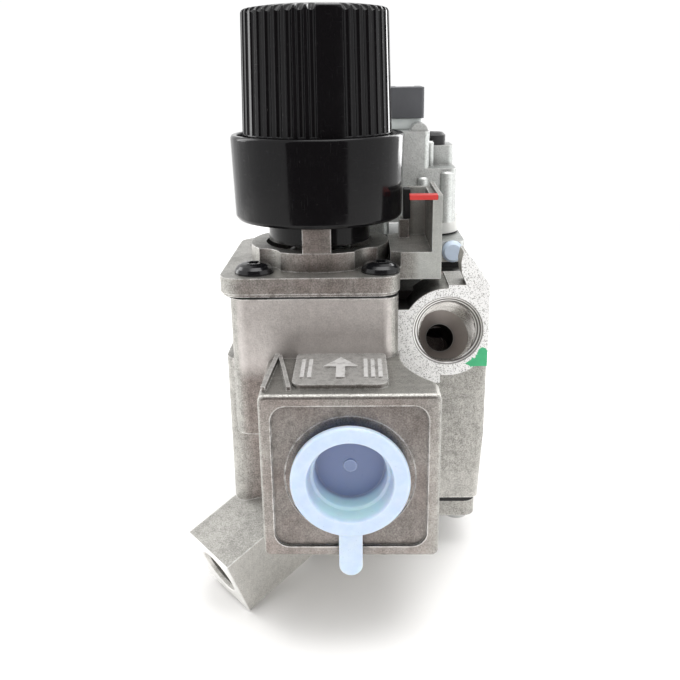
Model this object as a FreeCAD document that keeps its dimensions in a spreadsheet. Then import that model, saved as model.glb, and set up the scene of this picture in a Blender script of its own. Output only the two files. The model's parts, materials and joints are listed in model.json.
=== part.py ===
import FreeCAD, Part
import math
import os
import Sketcher
from FreeCAD import Placement, Rotation, Vector

# Combination gas control, knob up. Millimetres, +Z up.
# The origin is the centre of the gas inlet on the inlet face, gas flows along +Y.

DIMENSIONS = {
    # inlet and outlet blocks
    "port_block_half": 19.5,
    "port_block_corner": 1.6,
    "port_block_edge": 1.1,
    "panel_half": 16.9,
    "panel_depth": 0.8,
    "main_thread_radius": 10.3,
    "main_thread_length": 16.0,
    "main_chamfer_radius": 11.8,
    "main_chamfer_depth": 1.5,
    "spot_face_radius": 14.3,
    "spot_face_depth": 0.35,
    "main_passage_radius": 8.5,
    "overall_length": 105.0,
    "outlet_block_depth": 15.0,
    # tower that carries the knob
    "knob_x": -7.5,
    "knob_y": 45.0,
    "tower_left": -28.0,
    "tower_right": 11.5,
    "tower_front": 23.0,
    "tower_back": 70.0,
    "tower_top": 34.0,
    "tower_corner": 4.0,
    # lower body
    "body_left": -30.0,
    "body_right": 34.0,
    "body_front_left": 26.0,
    "body_front_right": 40.0,
    "body_back": 93.0,
    "body_bottom": -27.0,
    "shoulder_top": 18.5,
    "deck_top": 31.3,
    "deck_front": 60.0,
    # side port, the pilot gas outlet
    "side_port_x": 23.6,
    "side_port_z": 23.8,
    "side_port_face": 30.0,
    "side_port_radius": 6.9,
    "side_port_depth": 8.0,
    "side_port_chamfer": 8.7,
    "side_port_chamfer_depth": 1.0,
    "side_port_swing": 95.0,
    "side_port_tilt": 26.5,
    "side_seat_depth": 11.2,
    "side_boss_radius": 11.0,
    "side_boss_right": 33.5,
    "side_boss_low": 10.4,
    "side_hole_radius": 3.4,
    "side_hole_end": 24.0,
    "relief_radius": 24.8,
    "relief_x": 36.6,
    "relief_y": 24.0,
    "relief_front": 2.0,
    "relief_low": 4.0,
    "wall_top": 43.2,
    "wall_break": 35.2,
    "wall_inner": 28.0,
    "wall_back": 37.0,
    "passage_height": 21.5,
    "passage_back": 60.0,
    "pilot_radius": 1.5,
    "pilot_screw_x": 22.0,
    "pilot_screw_y": 45.2,
    # angled port
    "angled_x": -33.2,
    "angled_y": 16.2,
    "angled_z": -34.3,
    "angled_turn": 38.9,
    "angled_lift": 22.3,
    "angled_roll": 6.0,
    "angled_side": 17.4,
    "angled_length": 24.0,
    "angled_radius": 5.2,
    "angled_depth": 12.0,
    "angled_chamfer": 6.2,
    # vertical bore under the knob
    "bore_radius": 11.0,
    "chamber_radius": 10.0,
    "chamber_bottom": -21.5,
    "seat_shoulder": 12.0,
    "seat_height": 3.0,
    "seat_hole": 5.5,
    # main valve
    "valve_x": 2.0,
    "valve_y": 76.0,
    "valve_chamber": 12.0,
    "valve_roof": 25.0,
    "valve_seat_top": 5.0,
    "valve_seat_low": 2.0,
    "valve_seat_hole": 7.0,
    "diaphragm_radius": 16.0,
    "diaphragm_recess": 5.0,
    "diaphragm_thick": 1.6,
    # top cover
    "cover_left": -30.3,
    "cover_right": 11.9,
    "cover_front": 22.9,
    "cover_back": 71.0,
    "cover_low": 34.4,
    "cover_lip": 35.1,
    "cover_top": 39.0,
    "cover_corner": 5.0,
    "collar_outer": 17.2,
    "collar_inner": 13.4,
    "collar_top": 43.5,
    "cover_screw_x": 14.9,
    "cover_screw_y": 15.8,
    "screw_shank": 1.9,
    "screw_head": 4.6,
    "screw_head_high": 2.4,
    "screw_clearance": 6.2,
    # knob
    "shaft_radius": 3.0,
    "shaft_low": 20.5,
    "shaft_high": 88.0,
    "skirt_low": 49.7,
    "skirt_high": 69.7,
    "skirt_low_radius": 20.5,
    "skirt_high_radius": 21.0,
    "skirt_wall": 1.8,
    "grip_low_radius": 18.1,
    "grip_high_radius": 17.2,
    "grip_high": 97.6,
    "rib_count": 42.0,
    "plug_low": 15.2,
    "plug_high": 27.5,
    # bottom cover
    "bottom_front": 41.0,
    "bottom_plate": 4.6,
    "bottom_pan": 3.0,
    # regulator and operator stack
    "base_left": -6.0,
    "base_right": 31.6,
    "base_front": 64.0,
    "base_step_x": 12.6,
    "base_step_y": 71.8,
    "base_back": 92.6,
    "base_low": 33.0,
    "base_high": 38.8,
    "housing_left": -6.0,
    "housing_right": 29.0,
    "housing_front": 66.7,
    "housing_back": 92.4,
    "housing_low": 43.6,
    "housing_high": 58.2,
    "coil_x": 7.0,
    "coil_y": 78.0,
    "coil_tower_left": -6.0,
    "coil_tower_right": 21.6,
    "coil_tower_back": 90.5,
    "coil_tower_top": 68.0,
    "reg_x": 23.0,
    "reg_y": 79.2,
    "reg_top": 63.6,
    "ring_radius": 8.2,
    "vent_x": 28.1,
    "vent_z": 36.1,
    "stack_screw_y": 89.4,
    "stack_head": 3.1,
    "insulator_high": 71.0,
    "terminal_high": 79.2,
    # inlet cap
    "cap_flange_radius": 13.0,
    "cap_flange_front": -2.5,
    "cap_flange_thick": 1.6,
    "cap_plug_radius": 10.1,
    "cap_plug_depth": 7.0,
    "cap_wall": 1.0,
    "cap_mouth_radius": 9.6,
    "cap_floor_radius": 7.7,
}


class Size:
    """A length that carries its number and the sheet expression that gives it."""

    def __init__(self, text, number):
        self.text = text
        self.number = number

    def __add__(self, other):
        return join(self, "+", other, self.number + number_of(other))

    def __radd__(self, other):
        return join(other, "+", self, number_of(other) + self.number)

    def __sub__(self, other):
        return join(self, "-", other, self.number - number_of(other))

    def __rsub__(self, other):
        return join(other, "-", self, number_of(other) - self.number)

    def __mul__(self, other):
        return join(self, "*", other, self.number * number_of(other))

    def __truediv__(self, other):
        return join(self, "/", other, self.number / number_of(other))

    def __neg__(self):
        return Size("(-1 * " + self.text + ")", -self.number)


def number_of(value):
    return value.number if isinstance(value, Size) else float(value)


def text_of(value):
    return value.text if isinstance(value, Size) else repr(float(value))


def join(first, sign, second, number):
    return Size("(" + text_of(first) + " " + sign + " " + text_of(second) + ")", number)


class Sheet:
    """The document's spreadsheet, read by name."""

    def __init__(self, doc, table):
        self.table = table
        cells = doc.addObject("Spreadsheet::Sheet", "dims")
        for row, name in enumerate(table, start=1):
            cells.set("A" + str(row), name)
            cells.set("B" + str(row), str(table[name]))
            cells.setAlias("B" + str(row), name)
        doc.recompute()

    def __getattr__(self, name):
        return Size("dims." + name, self.table[name])


doc = FreeCAD.newDocument("gas_valve")
d = Sheet(doc, DIMENSIONS)
nodes = []


# ---------------------------------------------------------------- helpers

def bind(thing, prop, value):
    if isinstance(value, Size):
        thing.setExpression(prop, value.text)
    else:
        setattr(thing, prop, value)


def place(thing, x, y, z, rotation=Rotation()):
    thing.Placement = Placement(Vector(number_of(x), number_of(y), number_of(z)), rotation)
    for axis, value in (("x", x), ("y", y), ("z", z)):
        if isinstance(value, Size):
            thing.setExpression("Placement.Base." + axis, value.text)
    return thing


TOWARDS = {
    "z": Rotation(),
    "-z": Rotation(Vector(1, 0, 0), 180),
    "x": Rotation(Vector(0, 1, 0), 90),
    "-x": Rotation(Vector(0, 1, 0), -90),
    "y": Rotation(Vector(1, 0, 0), -90),
    "-y": Rotation(Vector(1, 0, 0), 90),
}


def box(x0, x1, y0, y1, z0, z1):
    solid = doc.addObject("Part::Box", "block")
    bind(solid, "Length", x1 - x0)
    bind(solid, "Width", y1 - y0)
    bind(solid, "Height", z1 - z0)
    return place(solid, x0, y0, z0)


def rod(radius, length, x, y, z, towards="z"):
    solid = doc.addObject("Part::Cylinder", "rod")
    bind(solid, "Radius", radius)
    bind(solid, "Height", length)
    return place(solid, x, y, z, TOWARDS[towards])


def taper(radius_a, radius_b, length, x, y, z, towards="z"):
    solid = doc.addObject("Part::Cone", "taper")
    bind(solid, "Radius1", radius_a)
    bind(solid, "Radius2", radius_b)
    bind(solid, "Height", length)
    return place(solid, x, y, z, TOWARDS[towards])


def torus(ring_radius, wire_radius, x, y, z, towards="z"):
    solid = doc.addObject("Part::Torus", "torus")
    bind(solid, "Radius1", ring_radius)
    bind(solid, "Radius2", wire_radius)
    return place(solid, x, y, z, TOWARDS[towards])


def fuse(*solids):
    joined = doc.addObject("Part::MultiFuse", "joined")
    joined.Shapes = list(solids)
    joined.Refine = True
    return joined


def group(*solids):
    bundle = doc.addObject("Part::Compound", "bundle")
    bundle.Links = list(solids)
    return bundle


def cut(base, *tools):
    remaining = doc.addObject("Part::Cut", "cut")
    remaining.Base = base
    remaining.Tool = tools[0] if len(tools) == 1 else fuse(*tools)
    remaining.Refine = True
    return remaining


def common(first, second):
    shared = doc.addObject("Part::Common", "common")
    shared.Base = first
    shared.Tool = second
    return shared


def rounded(base, radius, wanted):
    """Round every edge of base for which wanted(edge) is true."""
    doc.recompute()
    edges = [number for number, edge in enumerate(base.Shape.Edges, start=1) if wanted(edge)]
    soft = doc.addObject("Part::Fillet", "rounded")
    soft.Base = base
    soft.Edges = [(number, number_of(radius), number_of(radius)) for number in edges]
    return soft


def name_node(thing, label):
    thing.Label = label
    nodes.append(thing)
    return thing


# sketches

def plane_of(body, role):
    return [feature for feature in body.Origin.OriginFeatures if feature.Role == role][0]


def new_body(name, role):
    body = doc.addObject("PartDesign::Body", name + "_body")
    sketch = body.newObject("Sketcher::SketchObject", name + "_outline")
    sketch.AttachmentSupport = (plane_of(body, role), [""])
    sketch.MapMode = "FlatFace"
    return body, sketch


def pin_point(sketch, geometry, end, x, y):
    """Hold one sketch point at x, y measured from the sketch's origin."""
    if number_of(x) == 0.0:
        sketch.addConstraint(Sketcher.Constraint("PointOnObject", geometry, end, -2))
    else:
        index = sketch.addConstraint(
            Sketcher.Constraint("DistanceX", -1, 1, geometry, end, number_of(x)))
        if isinstance(x, Size):
            sketch.setExpression("Constraints[" + str(index) + "]", x.text)
    if number_of(y) == 0.0:
        sketch.addConstraint(Sketcher.Constraint("PointOnObject", geometry, end, -1))
    else:
        index = sketch.addConstraint(
            Sketcher.Constraint("DistanceY", -1, 1, geometry, end, number_of(y)))
        if isinstance(y, Size):
            sketch.setExpression("Constraints[" + str(index) + "]", y.text)


def polygon(sketch, points):
    """A closed outline of straight sides, each corner held at its own place."""
    spots = [Vector(number_of(x), number_of(y), 0) for x, y in points]
    count = len(spots)
    lines = [Part.LineSegment(spots[i], spots[(i + 1) % count]) for i in range(count)]
    first = sketch.addGeometry(lines, False)[0]
    for i in range(count):
        follower = first + (i + 1) % count
        sketch.addConstraint(Sketcher.Constraint("Coincident", first + i, 2, follower, 1))
    for i, (x, y) in enumerate(points):
        pin_point(sketch, first + i, 1, x, y)


def rounded_outline(sketch, left, right, low, high, radius):
    """A rectangle with four equal round corners."""
    x0, x1, y0, y1, r = [number_of(value) for value in (left, right, low, high, radius)]
    sides = [
        (Vector(x0 + r, y0, 0), Vector(x1 - r, y0, 0)),
        (Vector(x1, y0 + r, 0), Vector(x1, y1 - r, 0)),
        (Vector(x1 - r, y1, 0), Vector(x0 + r, y1, 0)),
        (Vector(x0, y1 - r, 0), Vector(x0, y0 + r, 0)),
    ]
    centres = [(x1 - r, y0 + r), (x1 - r, y1 - r), (x0 + r, y1 - r), (x0 + r, y0 + r)]
    up = Vector(0, 0, 1)
    for i in range(4):
        start = math.radians(-90 + 90 * i)
        circle = Part.Circle(Vector(centres[i][0], centres[i][1], 0), up, r)
        sketch.addGeometry(Part.LineSegment(*sides[i]), False)
        sketch.addGeometry(Part.ArcOfCircle(circle, start, start + math.pi / 2), False)
    for i in range(4):
        line = 2 * i
        arc = line + 1
        following = (line + 2) % 8
        sketch.addConstraint(Sketcher.Constraint("Tangent", line, 2, arc, 1))
        sketch.addConstraint(Sketcher.Constraint("Tangent", arc, 2, following, 1))
        sketch.addConstraint(Sketcher.Constraint(("Horizontal", "Vertical")[i % 2], line))
        if i:
            sketch.addConstraint(Sketcher.Constraint("Equal", 1, arc))
    index = sketch.addConstraint(Sketcher.Constraint("Radius", 1, r))
    if isinstance(radius, Size):
        sketch.setExpression("Constraints[" + str(index) + "]", radius.text)
    for kind, line, value in (("DistanceY", 0, low), ("DistanceX", 2, right),
                              ("DistanceY", 4, high), ("DistanceX", 6, left)):
        index = sketch.addConstraint(
            Sketcher.Constraint(kind, -1, 1, line, 1, number_of(value)))
        if isinstance(value, Size):
            sketch.setExpression("Constraints[" + str(index) + "]", value.text)


def pad(body, sketch, length, reverse=False):
    feature = body.newObject("PartDesign::Pad", body.Name + "_pad")
    feature.Profile = sketch
    bind(feature, "Length", length)
    feature.Reversed = reverse
    sketch.Visibility = False
    body.Tip = feature
    return feature


def slab(name, left, right, front, back, corner, low, high):
    """An upright block with round vertical corners."""
    body, sketch = new_body(name, "XY_Plane")
    rounded_outline(sketch, left, right, front, back, corner)
    pad(body, sketch, high - low)
    return place(body, 0.0, 0.0, low)


def facing_slab(name, left, right, low, high, corner, front, back):
    """A block with round corners as seen from the front, running along +Y."""
    body, sketch = new_body(name, "XZ_Plane")
    rounded_outline(sketch, left, right, low, high, corner)
    pad(body, sketch, back - front, True)
    return place(body, 0.0, front, 0.0)


def extruded(name, points, front, back):
    """A straight-sided outline in X and Z, running along +Y."""
    body, sketch = new_body(name, "XZ_Plane")
    polygon(sketch, points)
    pad(body, sketch, back - front, True)
    return place(body, 0.0, front, 0.0)


def plate_of(name, points, low, high):
    """A straight-sided outline in X and Y, standing from low to high."""
    body, sketch = new_body(name, "XY_Plane")
    polygon(sketch, points)
    pad(body, sketch, high - low)
    return place(body, 0.0, 0.0, low)


def bead(x0, y0, x1, y1, width, low, high):
    """A straight raised rib from one point to another, plain numbers only."""
    length = math.hypot(x1 - x0, y1 - y0)
    rib = box(0.0, length, 0.0, width, 0.0, high - low)
    around = Rotation(Vector(0, 0, 1), math.degrees(math.atan2(y1 - y0, x1 - x0)))
    corner = Vector(x0, y0, low) + around.multVec(Vector(0, -width / 2, 0))
    rib.Placement = Placement(corner, around)
    return rib


def turned(name, points, x=0.0, y=0.0, z=0.0, towards="z"):
    """A solid turned from an outline of radius and height."""
    body, sketch = new_body(name, "XZ_Plane")
    polygon(sketch, points)
    feature = body.newObject("PartDesign::Revolution", name + "_turned")
    feature.Profile = sketch
    feature.ReferenceAxis = (sketch, ["V_Axis"])
    feature.Angle = 360.0
    body.Tip = feature
    return place(body, x, y, z, TOWARDS[towards])


def ring(name, inner, outer, low, high, x=0.0, y=0.0, z=0.0, towards="z"):
    outline = [(inner, low), (outer, low), (outer, high), (inner, high)]
    return turned(name, outline, x, y, z, towards)


def coil_spring(name, radius, wire, low, high, turns, x, y):
    """An open compression spring along Z that fills the height from low to high."""
    body, sketch = new_body(name, "XZ_Plane")
    centre = Vector(number_of(radius), 0, 0)
    sketch.addGeometry(Part.Circle(centre, Vector(0, 0, 1), wire), False)
    sketch.addConstraint(Sketcher.Constraint("Radius", 0, wire))
    pin_point(sketch, 0, 3, radius, 0.0)
    feature = body.newObject("PartDesign::AdditiveHelix", name + "_wire")
    feature.Profile = sketch
    feature.ReferenceAxis = (sketch, ["V_Axis"])
    feature.Mode = 0
    rise = high - low - 2 * wire
    bind(feature, "Pitch", rise / turns)
    bind(feature, "Height", rise)
    body.Tip = feature
    return place(body, x, y, low + wire)


def pan_screw(name, x, y, seat, length, head=None, towards="-z"):
    """A screw with a domed head and a six-lobed drive; the shank runs towards the given way."""
    head = head or d.screw_head
    high = d.screw_head_high
    deep = 1.3
    drive = 1.25
    lobe = 0.42
    outline = [
        (0.0, -(high - deep)),
        (drive, -(high - deep)),
        (drive, -high),
        (head * 0.42, -high),
        (head * 0.62, high * -0.93),
        (head * 0.80, high * -0.76),
        (head * 0.93, high * -0.50),
        (head, high * -0.18),
        (head, 0.0),
        (d.screw_shank, 0.0),
        (d.screw_shank, length),
        (0.0, length),
    ]
    turn = TOWARDS[towards]
    base = Vector(number_of(x), number_of(y), number_of(seat))
    lobes = []
    for i in range(6):
        angle = math.radians(60.0 * i)
        spot = turn.multVec(Vector(drive * math.cos(angle), drive * math.sin(angle), -number_of(high) - 0.1))
        lobes.append(place(rod(lobe, deep + 0.1, 0, 0, 0), *(base + spot), turn))
    return cut(turned(name, outline, x, y, seat, towards), *lobes)


# ---------------------------------------------------------------- main casting

def angled_rotation():
    turn, lift, roll = [number_of(v) for v in (d.angled_turn, d.angled_lift, d.angled_roll)]
    return Rotation(turn, -lift, roll)


def leaning_rod(mouth, rotation, radius_a, radius_b, start, end):
    """A round cut whose axis leaves mouth along the rotated X axis, from start to end."""
    spot = mouth + rotation.multVec(Vector(start, 0, 0))
    along = rotation.multiply(Rotation(Vector(0, 1, 0), 90))
    if radius_a == radius_b:
        return place(rod(radius_a, end - start, 0, 0, 0), spot.x, spot.y, spot.z, along)
    return place(taper(radius_a, radius_b, end - start, 0, 0, 0), spot.x, spot.y, spot.z, along)


def angled_rod(radius_a, radius_b, start, end):
    """A round cut along the angled boss, measured inwards from its end face."""
    mouth = Vector(d.angled_x.number, d.angled_y.number, d.angled_z.number)
    return leaning_rod(mouth, angled_rotation(), radius_a, radius_b, start, end)


def side_rod(radius_a, radius_b, start, end):
    """A round cut along the side port, which slopes down into the casting."""
    mouth = Vector(d.side_port_x.number, d.side_port_face.number, d.side_port_z.number)
    rotation = Rotation(d.side_port_swing.number, d.side_port_tilt.number, 0)
    return leaning_rod(mouth, rotation, radius_a, radius_b, start, end)


def angled_boss():
    rotation = angled_rotation()
    side = d.angled_side
    boss = box(0.0, d.angled_length, 0.0, side, 0.0, side)
    face = Vector(d.angled_x.number, d.angled_y.number, d.angled_z.number)
    corner = rotation.multVec(Vector(0, -side.number / 2, -side.number / 2)) + face
    boss.Placement = Placement(corner, rotation)
    return boss


def port_thread(y, way):
    """Cuts for one of the two main connections: chamfer and thread bore."""
    return [
        rod(d.main_thread_radius, d.main_thread_length, 0.0, y, 0.0, way),
        taper(d.main_chamfer_radius, d.main_thread_radius, d.main_chamfer_depth, 0.0, y, 0.0, way),
    ]


def neck_relief():
    """The hollow beside the inlet's neck, where the square flange sweeps back to the tower."""
    sweep = rod(d.relief_radius, d.port_block_half - d.relief_low + 1.0,
                d.relief_x, d.relief_y, d.relief_low)
    reach = box(0.0, d.relief_x, d.relief_front, d.side_port_face,
                d.relief_low - 1.0, d.port_block_half + 1.0)
    return common(sweep, reach)


def drafted_side():
    """The right half of the lower body, whose side leans out from the bottom and back in at the top."""
    right = d.body_right
    swell = right + 1.2
    side = extruded("right_body", [
        (-10.0, d.body_bottom), (right + 0.1, d.body_bottom), (swell, -8.0), (swell, 11.0),
        (right, 15.0), (right, d.deck_top), (-10.0, d.deck_top)], d.body_front_right, d.body_back)
    ends = (d.body_front_right.number, d.body_back.number)
    return rounded(side, 2.0, lambda edge: edge.CenterOfMass.x > right.number - 0.01
                   and min(abs(edge.CenterOfMass.y - end) for end in ends) < 0.01)


def body_outside():
    half = d.port_block_half
    length = d.overall_length
    inlet = facing_slab("inlet_block", -half, half, -half, half, d.port_block_corner,
                        0.0, d.tower_front + 5.0)
    inlet = rounded(inlet, d.port_block_edge, lambda edge: edge.CenterOfMass.y < 0.01)
    inlet = cut(inlet, neck_relief())
    outlet = facing_slab("outlet_block", -half, half, -half, half, d.port_block_corner,
                         length - d.outlet_block_depth, length)
    outlet = rounded(outlet, d.port_block_edge,
                     lambda edge: edge.CenterOfMass.y > length.number - 0.01)
    tower = slab("tower", d.tower_left, d.tower_right, d.tower_front, d.tower_back,
                 d.tower_corner, 0.0, d.tower_top)
    left = slab("left_body", d.body_left, d.tower_right, d.body_front_left, d.body_back,
                d.tower_corner, d.body_bottom, d.shoulder_top)
    right = drafted_side()
    deck = slab("deck", d.tower_left, d.body_right, d.deck_front, d.body_back,
                2.0, 0.0, d.deck_top)
    boss_depth = 14.0
    web_top, boss_right_low = 29.2, 14.7
    side_edge = d.body_right - 0.6
    boss = common(
        rod(d.side_boss_radius, boss_depth, d.side_port_x, d.side_port_face, d.side_port_z - 0.4, "y"),
        box(0.0, d.side_boss_right, d.side_port_face, d.side_port_face + boss_depth, 0.0, d.wall_top))
    boss_left = box(d.tower_right - 1.0, d.side_port_x - 1.6, d.side_port_face,
                    d.side_port_face + boss_depth, d.side_boss_low, web_top)
    boss_right = box(d.side_port_x, side_edge, d.side_port_face,
                     d.side_port_face + boss_depth, boss_right_low, d.wall_break)
    wall_low = 28.0
    wall_outline = [
        (d.wall_inner, wall_low),
        (side_edge, wall_low),
        (side_edge, d.wall_break),
        (32.3, 36.6),
        (30.0, 40.2),
        (27.6, d.wall_top),
        (26.9, d.wall_top),
        (26.4, 40.6),
        (26.6, 38.0),
        (d.wall_inner, 34.8),
    ]
    wall = extruded("side_wall", wall_outline, d.side_port_face, d.wall_back)
    return fuse(inlet, outlet, tower, left, right, deck, boss, boss_left, boss_right,
                wall, angled_boss(), *inlet_marks())


def inlet_marks():
    """What stands on top of the inlet block: a pad with a flow arrow, and two slanted ribs."""
    top = d.port_block_half.number
    sunk, root = top - 1.5, 0.5
    pad_top = top + 1.1
    rear = d.tower_front.number + 1.0
    mark = slab("flow_pad", -12.4, 8.4, 3.4, rear, 2.4, sunk, pad_top)
    arrow = plate_of("flow_arrow", [
        (-3.0, 6.6), (-1.0, 6.6), (-1.0, 13.4), (1.9, 13.4), (-2.0, 19.4), (-5.9, 13.4),
        (-3.0, 13.4)], pad_top - root, pad_top + 0.5)
    bar_front, bar_back, bar_width, bar_high = 7.0, 18.6, 0.9, 0.35
    bars = [bead(x, bar_front, x, bar_back, bar_width, pad_top - root, pad_top + bar_high)
            for x in (-10.4, -8.8, 3.6, 5.2, 6.8)]
    ribs = [bead(-18.3, 2.2, -17.0, rear, 1.0, sunk, top + 1.2),
            bead(-12.9, 2.8, -16.6, rear, 0.9, sunk, top + 0.9)]
    return [mark, arrow] + bars + ribs


def body_passages():
    half = d.panel_half
    panel = facing_slab("panel", -half, half, -half, half, 3.4, -0.1, d.panel_depth)
    cuts = [panel]
    cuts.append(rod(d.spot_face_radius, d.panel_depth + d.spot_face_depth, 0.0, 0.0, 0.0, "y"))
    cuts += port_thread(d.panel_depth + d.spot_face_depth, "y")
    cuts += port_thread(d.overall_length, "-y")
    cuts.append(rod(d.main_passage_radius, d.knob_y, 0.0, 0.0, 0.0, "y"))
    cuts.append(rod(d.main_passage_radius, d.overall_length - d.valve_y, 0.0,
                    d.overall_length, 0.0, "-y"))
    # vertical bore: plug above, shoulder for the seat insert, magnet unit below
    cuts.append(rod(d.bore_radius, d.tower_top - d.seat_shoulder + 1.0,
                    d.knob_x, d.knob_y, d.seat_shoulder))
    cuts.append(rod(d.chamber_radius, d.seat_shoulder - d.chamber_bottom,
                    d.knob_x, d.knob_y, d.chamber_bottom))
    # plug outlet to the main valve
    crossing_radius, crossing_high = 4.0, 20.0
    cuts.append(rod(crossing_radius, d.valve_y - d.knob_y, d.knob_x, d.knob_y, crossing_high, "y"))
    # main valve: inlet side, seat, outlet side, diaphragm recess
    x, y = d.valve_x, d.valve_y
    cuts.append(rod(d.valve_chamber, d.valve_roof - d.valve_seat_top, x, y, d.valve_seat_top))
    cuts.append(rod(d.valve_seat_hole, 5.0, x, y, d.valve_seat_low - 1.0))
    cuts.append(rod(d.valve_chamber, d.valve_seat_low - d.body_bottom, x, y, d.body_bottom))
    cuts.append(rod(d.diaphragm_radius, d.diaphragm_recess + 1.0, x, y, d.body_bottom - 1.0))
    # side port with its thread, olive seat and pilot passage
    px, py, pz = d.side_port_x, d.side_port_face, d.side_port_z
    bore, depth = d.side_port_radius, d.side_port_depth.number
    cuts.append(side_rod(bore, bore, -6.0, depth))
    cuts.append(taper(d.side_port_chamfer, bore, d.side_port_chamfer_depth, px, py, pz, "y"))
    cuts.append(side_rod(bore, d.side_hole_radius, depth, d.side_seat_depth.number))
    cuts.append(side_rod(d.side_hole_radius, d.side_hole_radius, depth, d.side_hole_end.number))
    sx, sy = d.pilot_screw_x, d.pilot_screw_y
    back, high = d.passage_back, d.passage_height
    cuts.append(rod(d.pilot_radius, sx - d.knob_x, d.knob_x, back, high, "x"))
    cuts.append(rod(d.pilot_radius, back - sy + 1.0, sx, back + 1.0, high, "-y"))
    # angled port
    cuts.append(angled_rod(d.angled_radius, d.angled_radius, 0.0, d.angled_depth.number))
    cuts.append(angled_rod(d.angled_chamfer, d.angled_radius, 0.0, 1.0))
    inner_hole, inner_end = 2.0, 22.0
    cuts.append(angled_rod(inner_hole, inner_hole, d.angled_depth.number - 1.0, inner_end))
    return cuts


def screw_spots(centre_x, centre_y, half_x, half_y):
    return [(centre_x + half_x * i, centre_y + half_y * j) for i in (-1, 1) for j in (-1, 1)]


def cover_spots():
    return screw_spots(d.knob_x, d.knob_y, d.cover_screw_x, d.cover_screw_y)


def bottom_spots():
    return [(x, y) for x in (-25.0, 29.0) for y in (46.0, 67.0, 88.0)]


def stack_spots():
    return [(x, d.stack_screw_y) for x in (18.8, 25.4)]


def main_body():
    slack = 0.05
    hole = d.screw_shank + slack
    cuts = body_passages()
    cuts += [rod(hole, 14.0, x, y, d.tower_top - 13.0) for x, y in cover_spots()]
    cuts += [rod(hole, 10.0, x, y, d.body_bottom - 0.5) for x, y in bottom_spots()]
    cuts += [rod(hole, 8.0, x, y, d.deck_top - 7.0) for x, y in stack_spots()]
    sx, sy = d.pilot_screw_x, d.pilot_screw_y
    cuts.append(rod(3.5, 4.0, sx, sy, d.deck_top - 3.0))
    cuts.append(rod(1.6, 13.0, sx, sy, d.deck_top - 14.5))
    name_node(cut(body_outside(), *cuts), "main_body")


# ---------------------------------------------------------------- under the knob

def safety_valve():
    x, y = d.knob_x, d.knob_y
    shoulder = d.seat_shoulder
    seat = ring("seat", d.seat_hole, d.bore_radius - 0.02, 0.0, d.seat_height, x, y, shoulder)
    name_node(seat, "safety_seat")
    disc = turned("safety_disc", [
        (0.0, -21.0), (4.2, -21.0), (4.2, -20.0), (1.5, -20.0), (1.5, -3.3), (7.6, -3.3),
        (7.6, -1.8), (1.5, -1.8), (1.5, 8.0), (0.0, 8.0)], x, y, shoulder)
    name_node(disc, "safety_valve_stem")
    rubber = ring("safety_rubber", 1.5, 7.4, -1.8, -0.02, x, y, shoulder)
    name_node(rubber, "safety_valve_rubber")
    spring = coil_spring("safety_spring", 5.6, 0.4, shoulder - 15.8, shoulder - 3.4, 5, x, y)
    name_node(spring, "safety_valve_spring")


def magnet_unit():
    x, y, low = d.knob_x, d.knob_y, d.chamber_bottom
    can = turned("magnet_can", [
        (0.0, 0.0), (9.6, 0.0), (9.6, 17.6), (1.7, 17.6), (1.7, 16.6), (8.4, 16.6),
        (8.4, 1.2), (0.0, 1.2)], x, y, low)
    name_node(can, "magnet_can")
    yoke = box(x - 4.2, x + 4.2, y - 2.4, y + 2.4, low + 1.2, low + 7.4)
    gap = box(x - 1.6, x + 1.6, y - 3.0, y + 3.0, low + 3.2, low + 8.0)
    name_node(cut(yoke, gap), "magnet_core")
    coils = []
    for side in (-2.9, 2.9):
        former = box(x + side - 2.3, x + side + 2.3, y - 3.8, y + 3.8, low + 3.4, low + 6.8)
        leg = box(x + side - 1.35, x + side + 1.35, y - 2.45, y + 2.45, low + 3.0, low + 7.0)
        inner = box(x - 1.0 if side > 0 else x - 9.0, x + 9.0 if side > 0 else x + 1.0,
                    y - 4.0, y + 4.0, low + 3.0, low + 7.0)
        coils.append(cut(common(former, inner), leg))
    name_node(group(*[clear_of_centre(one) for one in coils]), "magnet_coils")


def clear_of_centre(solid):
    """Leave a slit between the two coils."""
    x, y, low = d.knob_x, d.knob_y, d.chamber_bottom
    return cut(solid, box(x - 0.7, x + 0.7, y - 4.0, y + 4.0, low, low + 9.0))


def plug():
    x, y = d.knob_x, d.knob_y
    low, high = d.plug_low, d.plug_high
    outside = rod(d.bore_radius - 0.05, high - low, x, y, low)
    hollow = rod(6.5, 9.5, x, y, low - 1.0)
    window = box(x - 3.2, x + 3.2, y - 14.0, y, 17.0, 23.0)
    shaft_way = rod(d.shaft_radius + 0.05, 20.0, x, y, low)
    key_way = box(x - 1.1, x + 1.1, y - 5.4, y + 5.4, high - 6.0, high + 1.0)
    name_node(cut(outside, hollow, window, shaft_way, key_way), "plug_cock")


def knob_shaft():
    x, y = d.knob_x, d.knob_y
    low, high = d.shaft_low, d.shaft_high
    outline = [
        (0.0, low), (d.shaft_radius, low), (d.shaft_radius, 32.9), (2.3, 32.9), (2.3, 33.7),
        (d.shaft_radius, 33.7), (d.shaft_radius, high), (0.0, high)]
    shaft = turned("shaft", outline, x, y, 0.0)
    key = box(x - 1.0, x + 1.0, y - 5.0, y + 5.0, 26.2, 27.4)
    flat = box(x - 4.0, x + 4.0, y - 4.0, y - 2.2, 60.0, high + 1.0)
    name_node(cut(fuse(shaft, key), flat), "knob_shaft")
    clip = ring("clip", 2.32, 5.2, 33.0, 33.6, x, y)
    slot = box(x - 1.9, x + 1.9, y - 6.0, y - 1.0, 32.0, 34.5)
    name_node(cut(clip, slot), "shaft_clip")
    name_node(torus(3.85, 0.78, x, y, 37.2), "shaft_seal")
    name_node(coil_spring("return", 7.2, 0.6, 39.05, 48.95, 4, x, y), "knob_spring")


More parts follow.
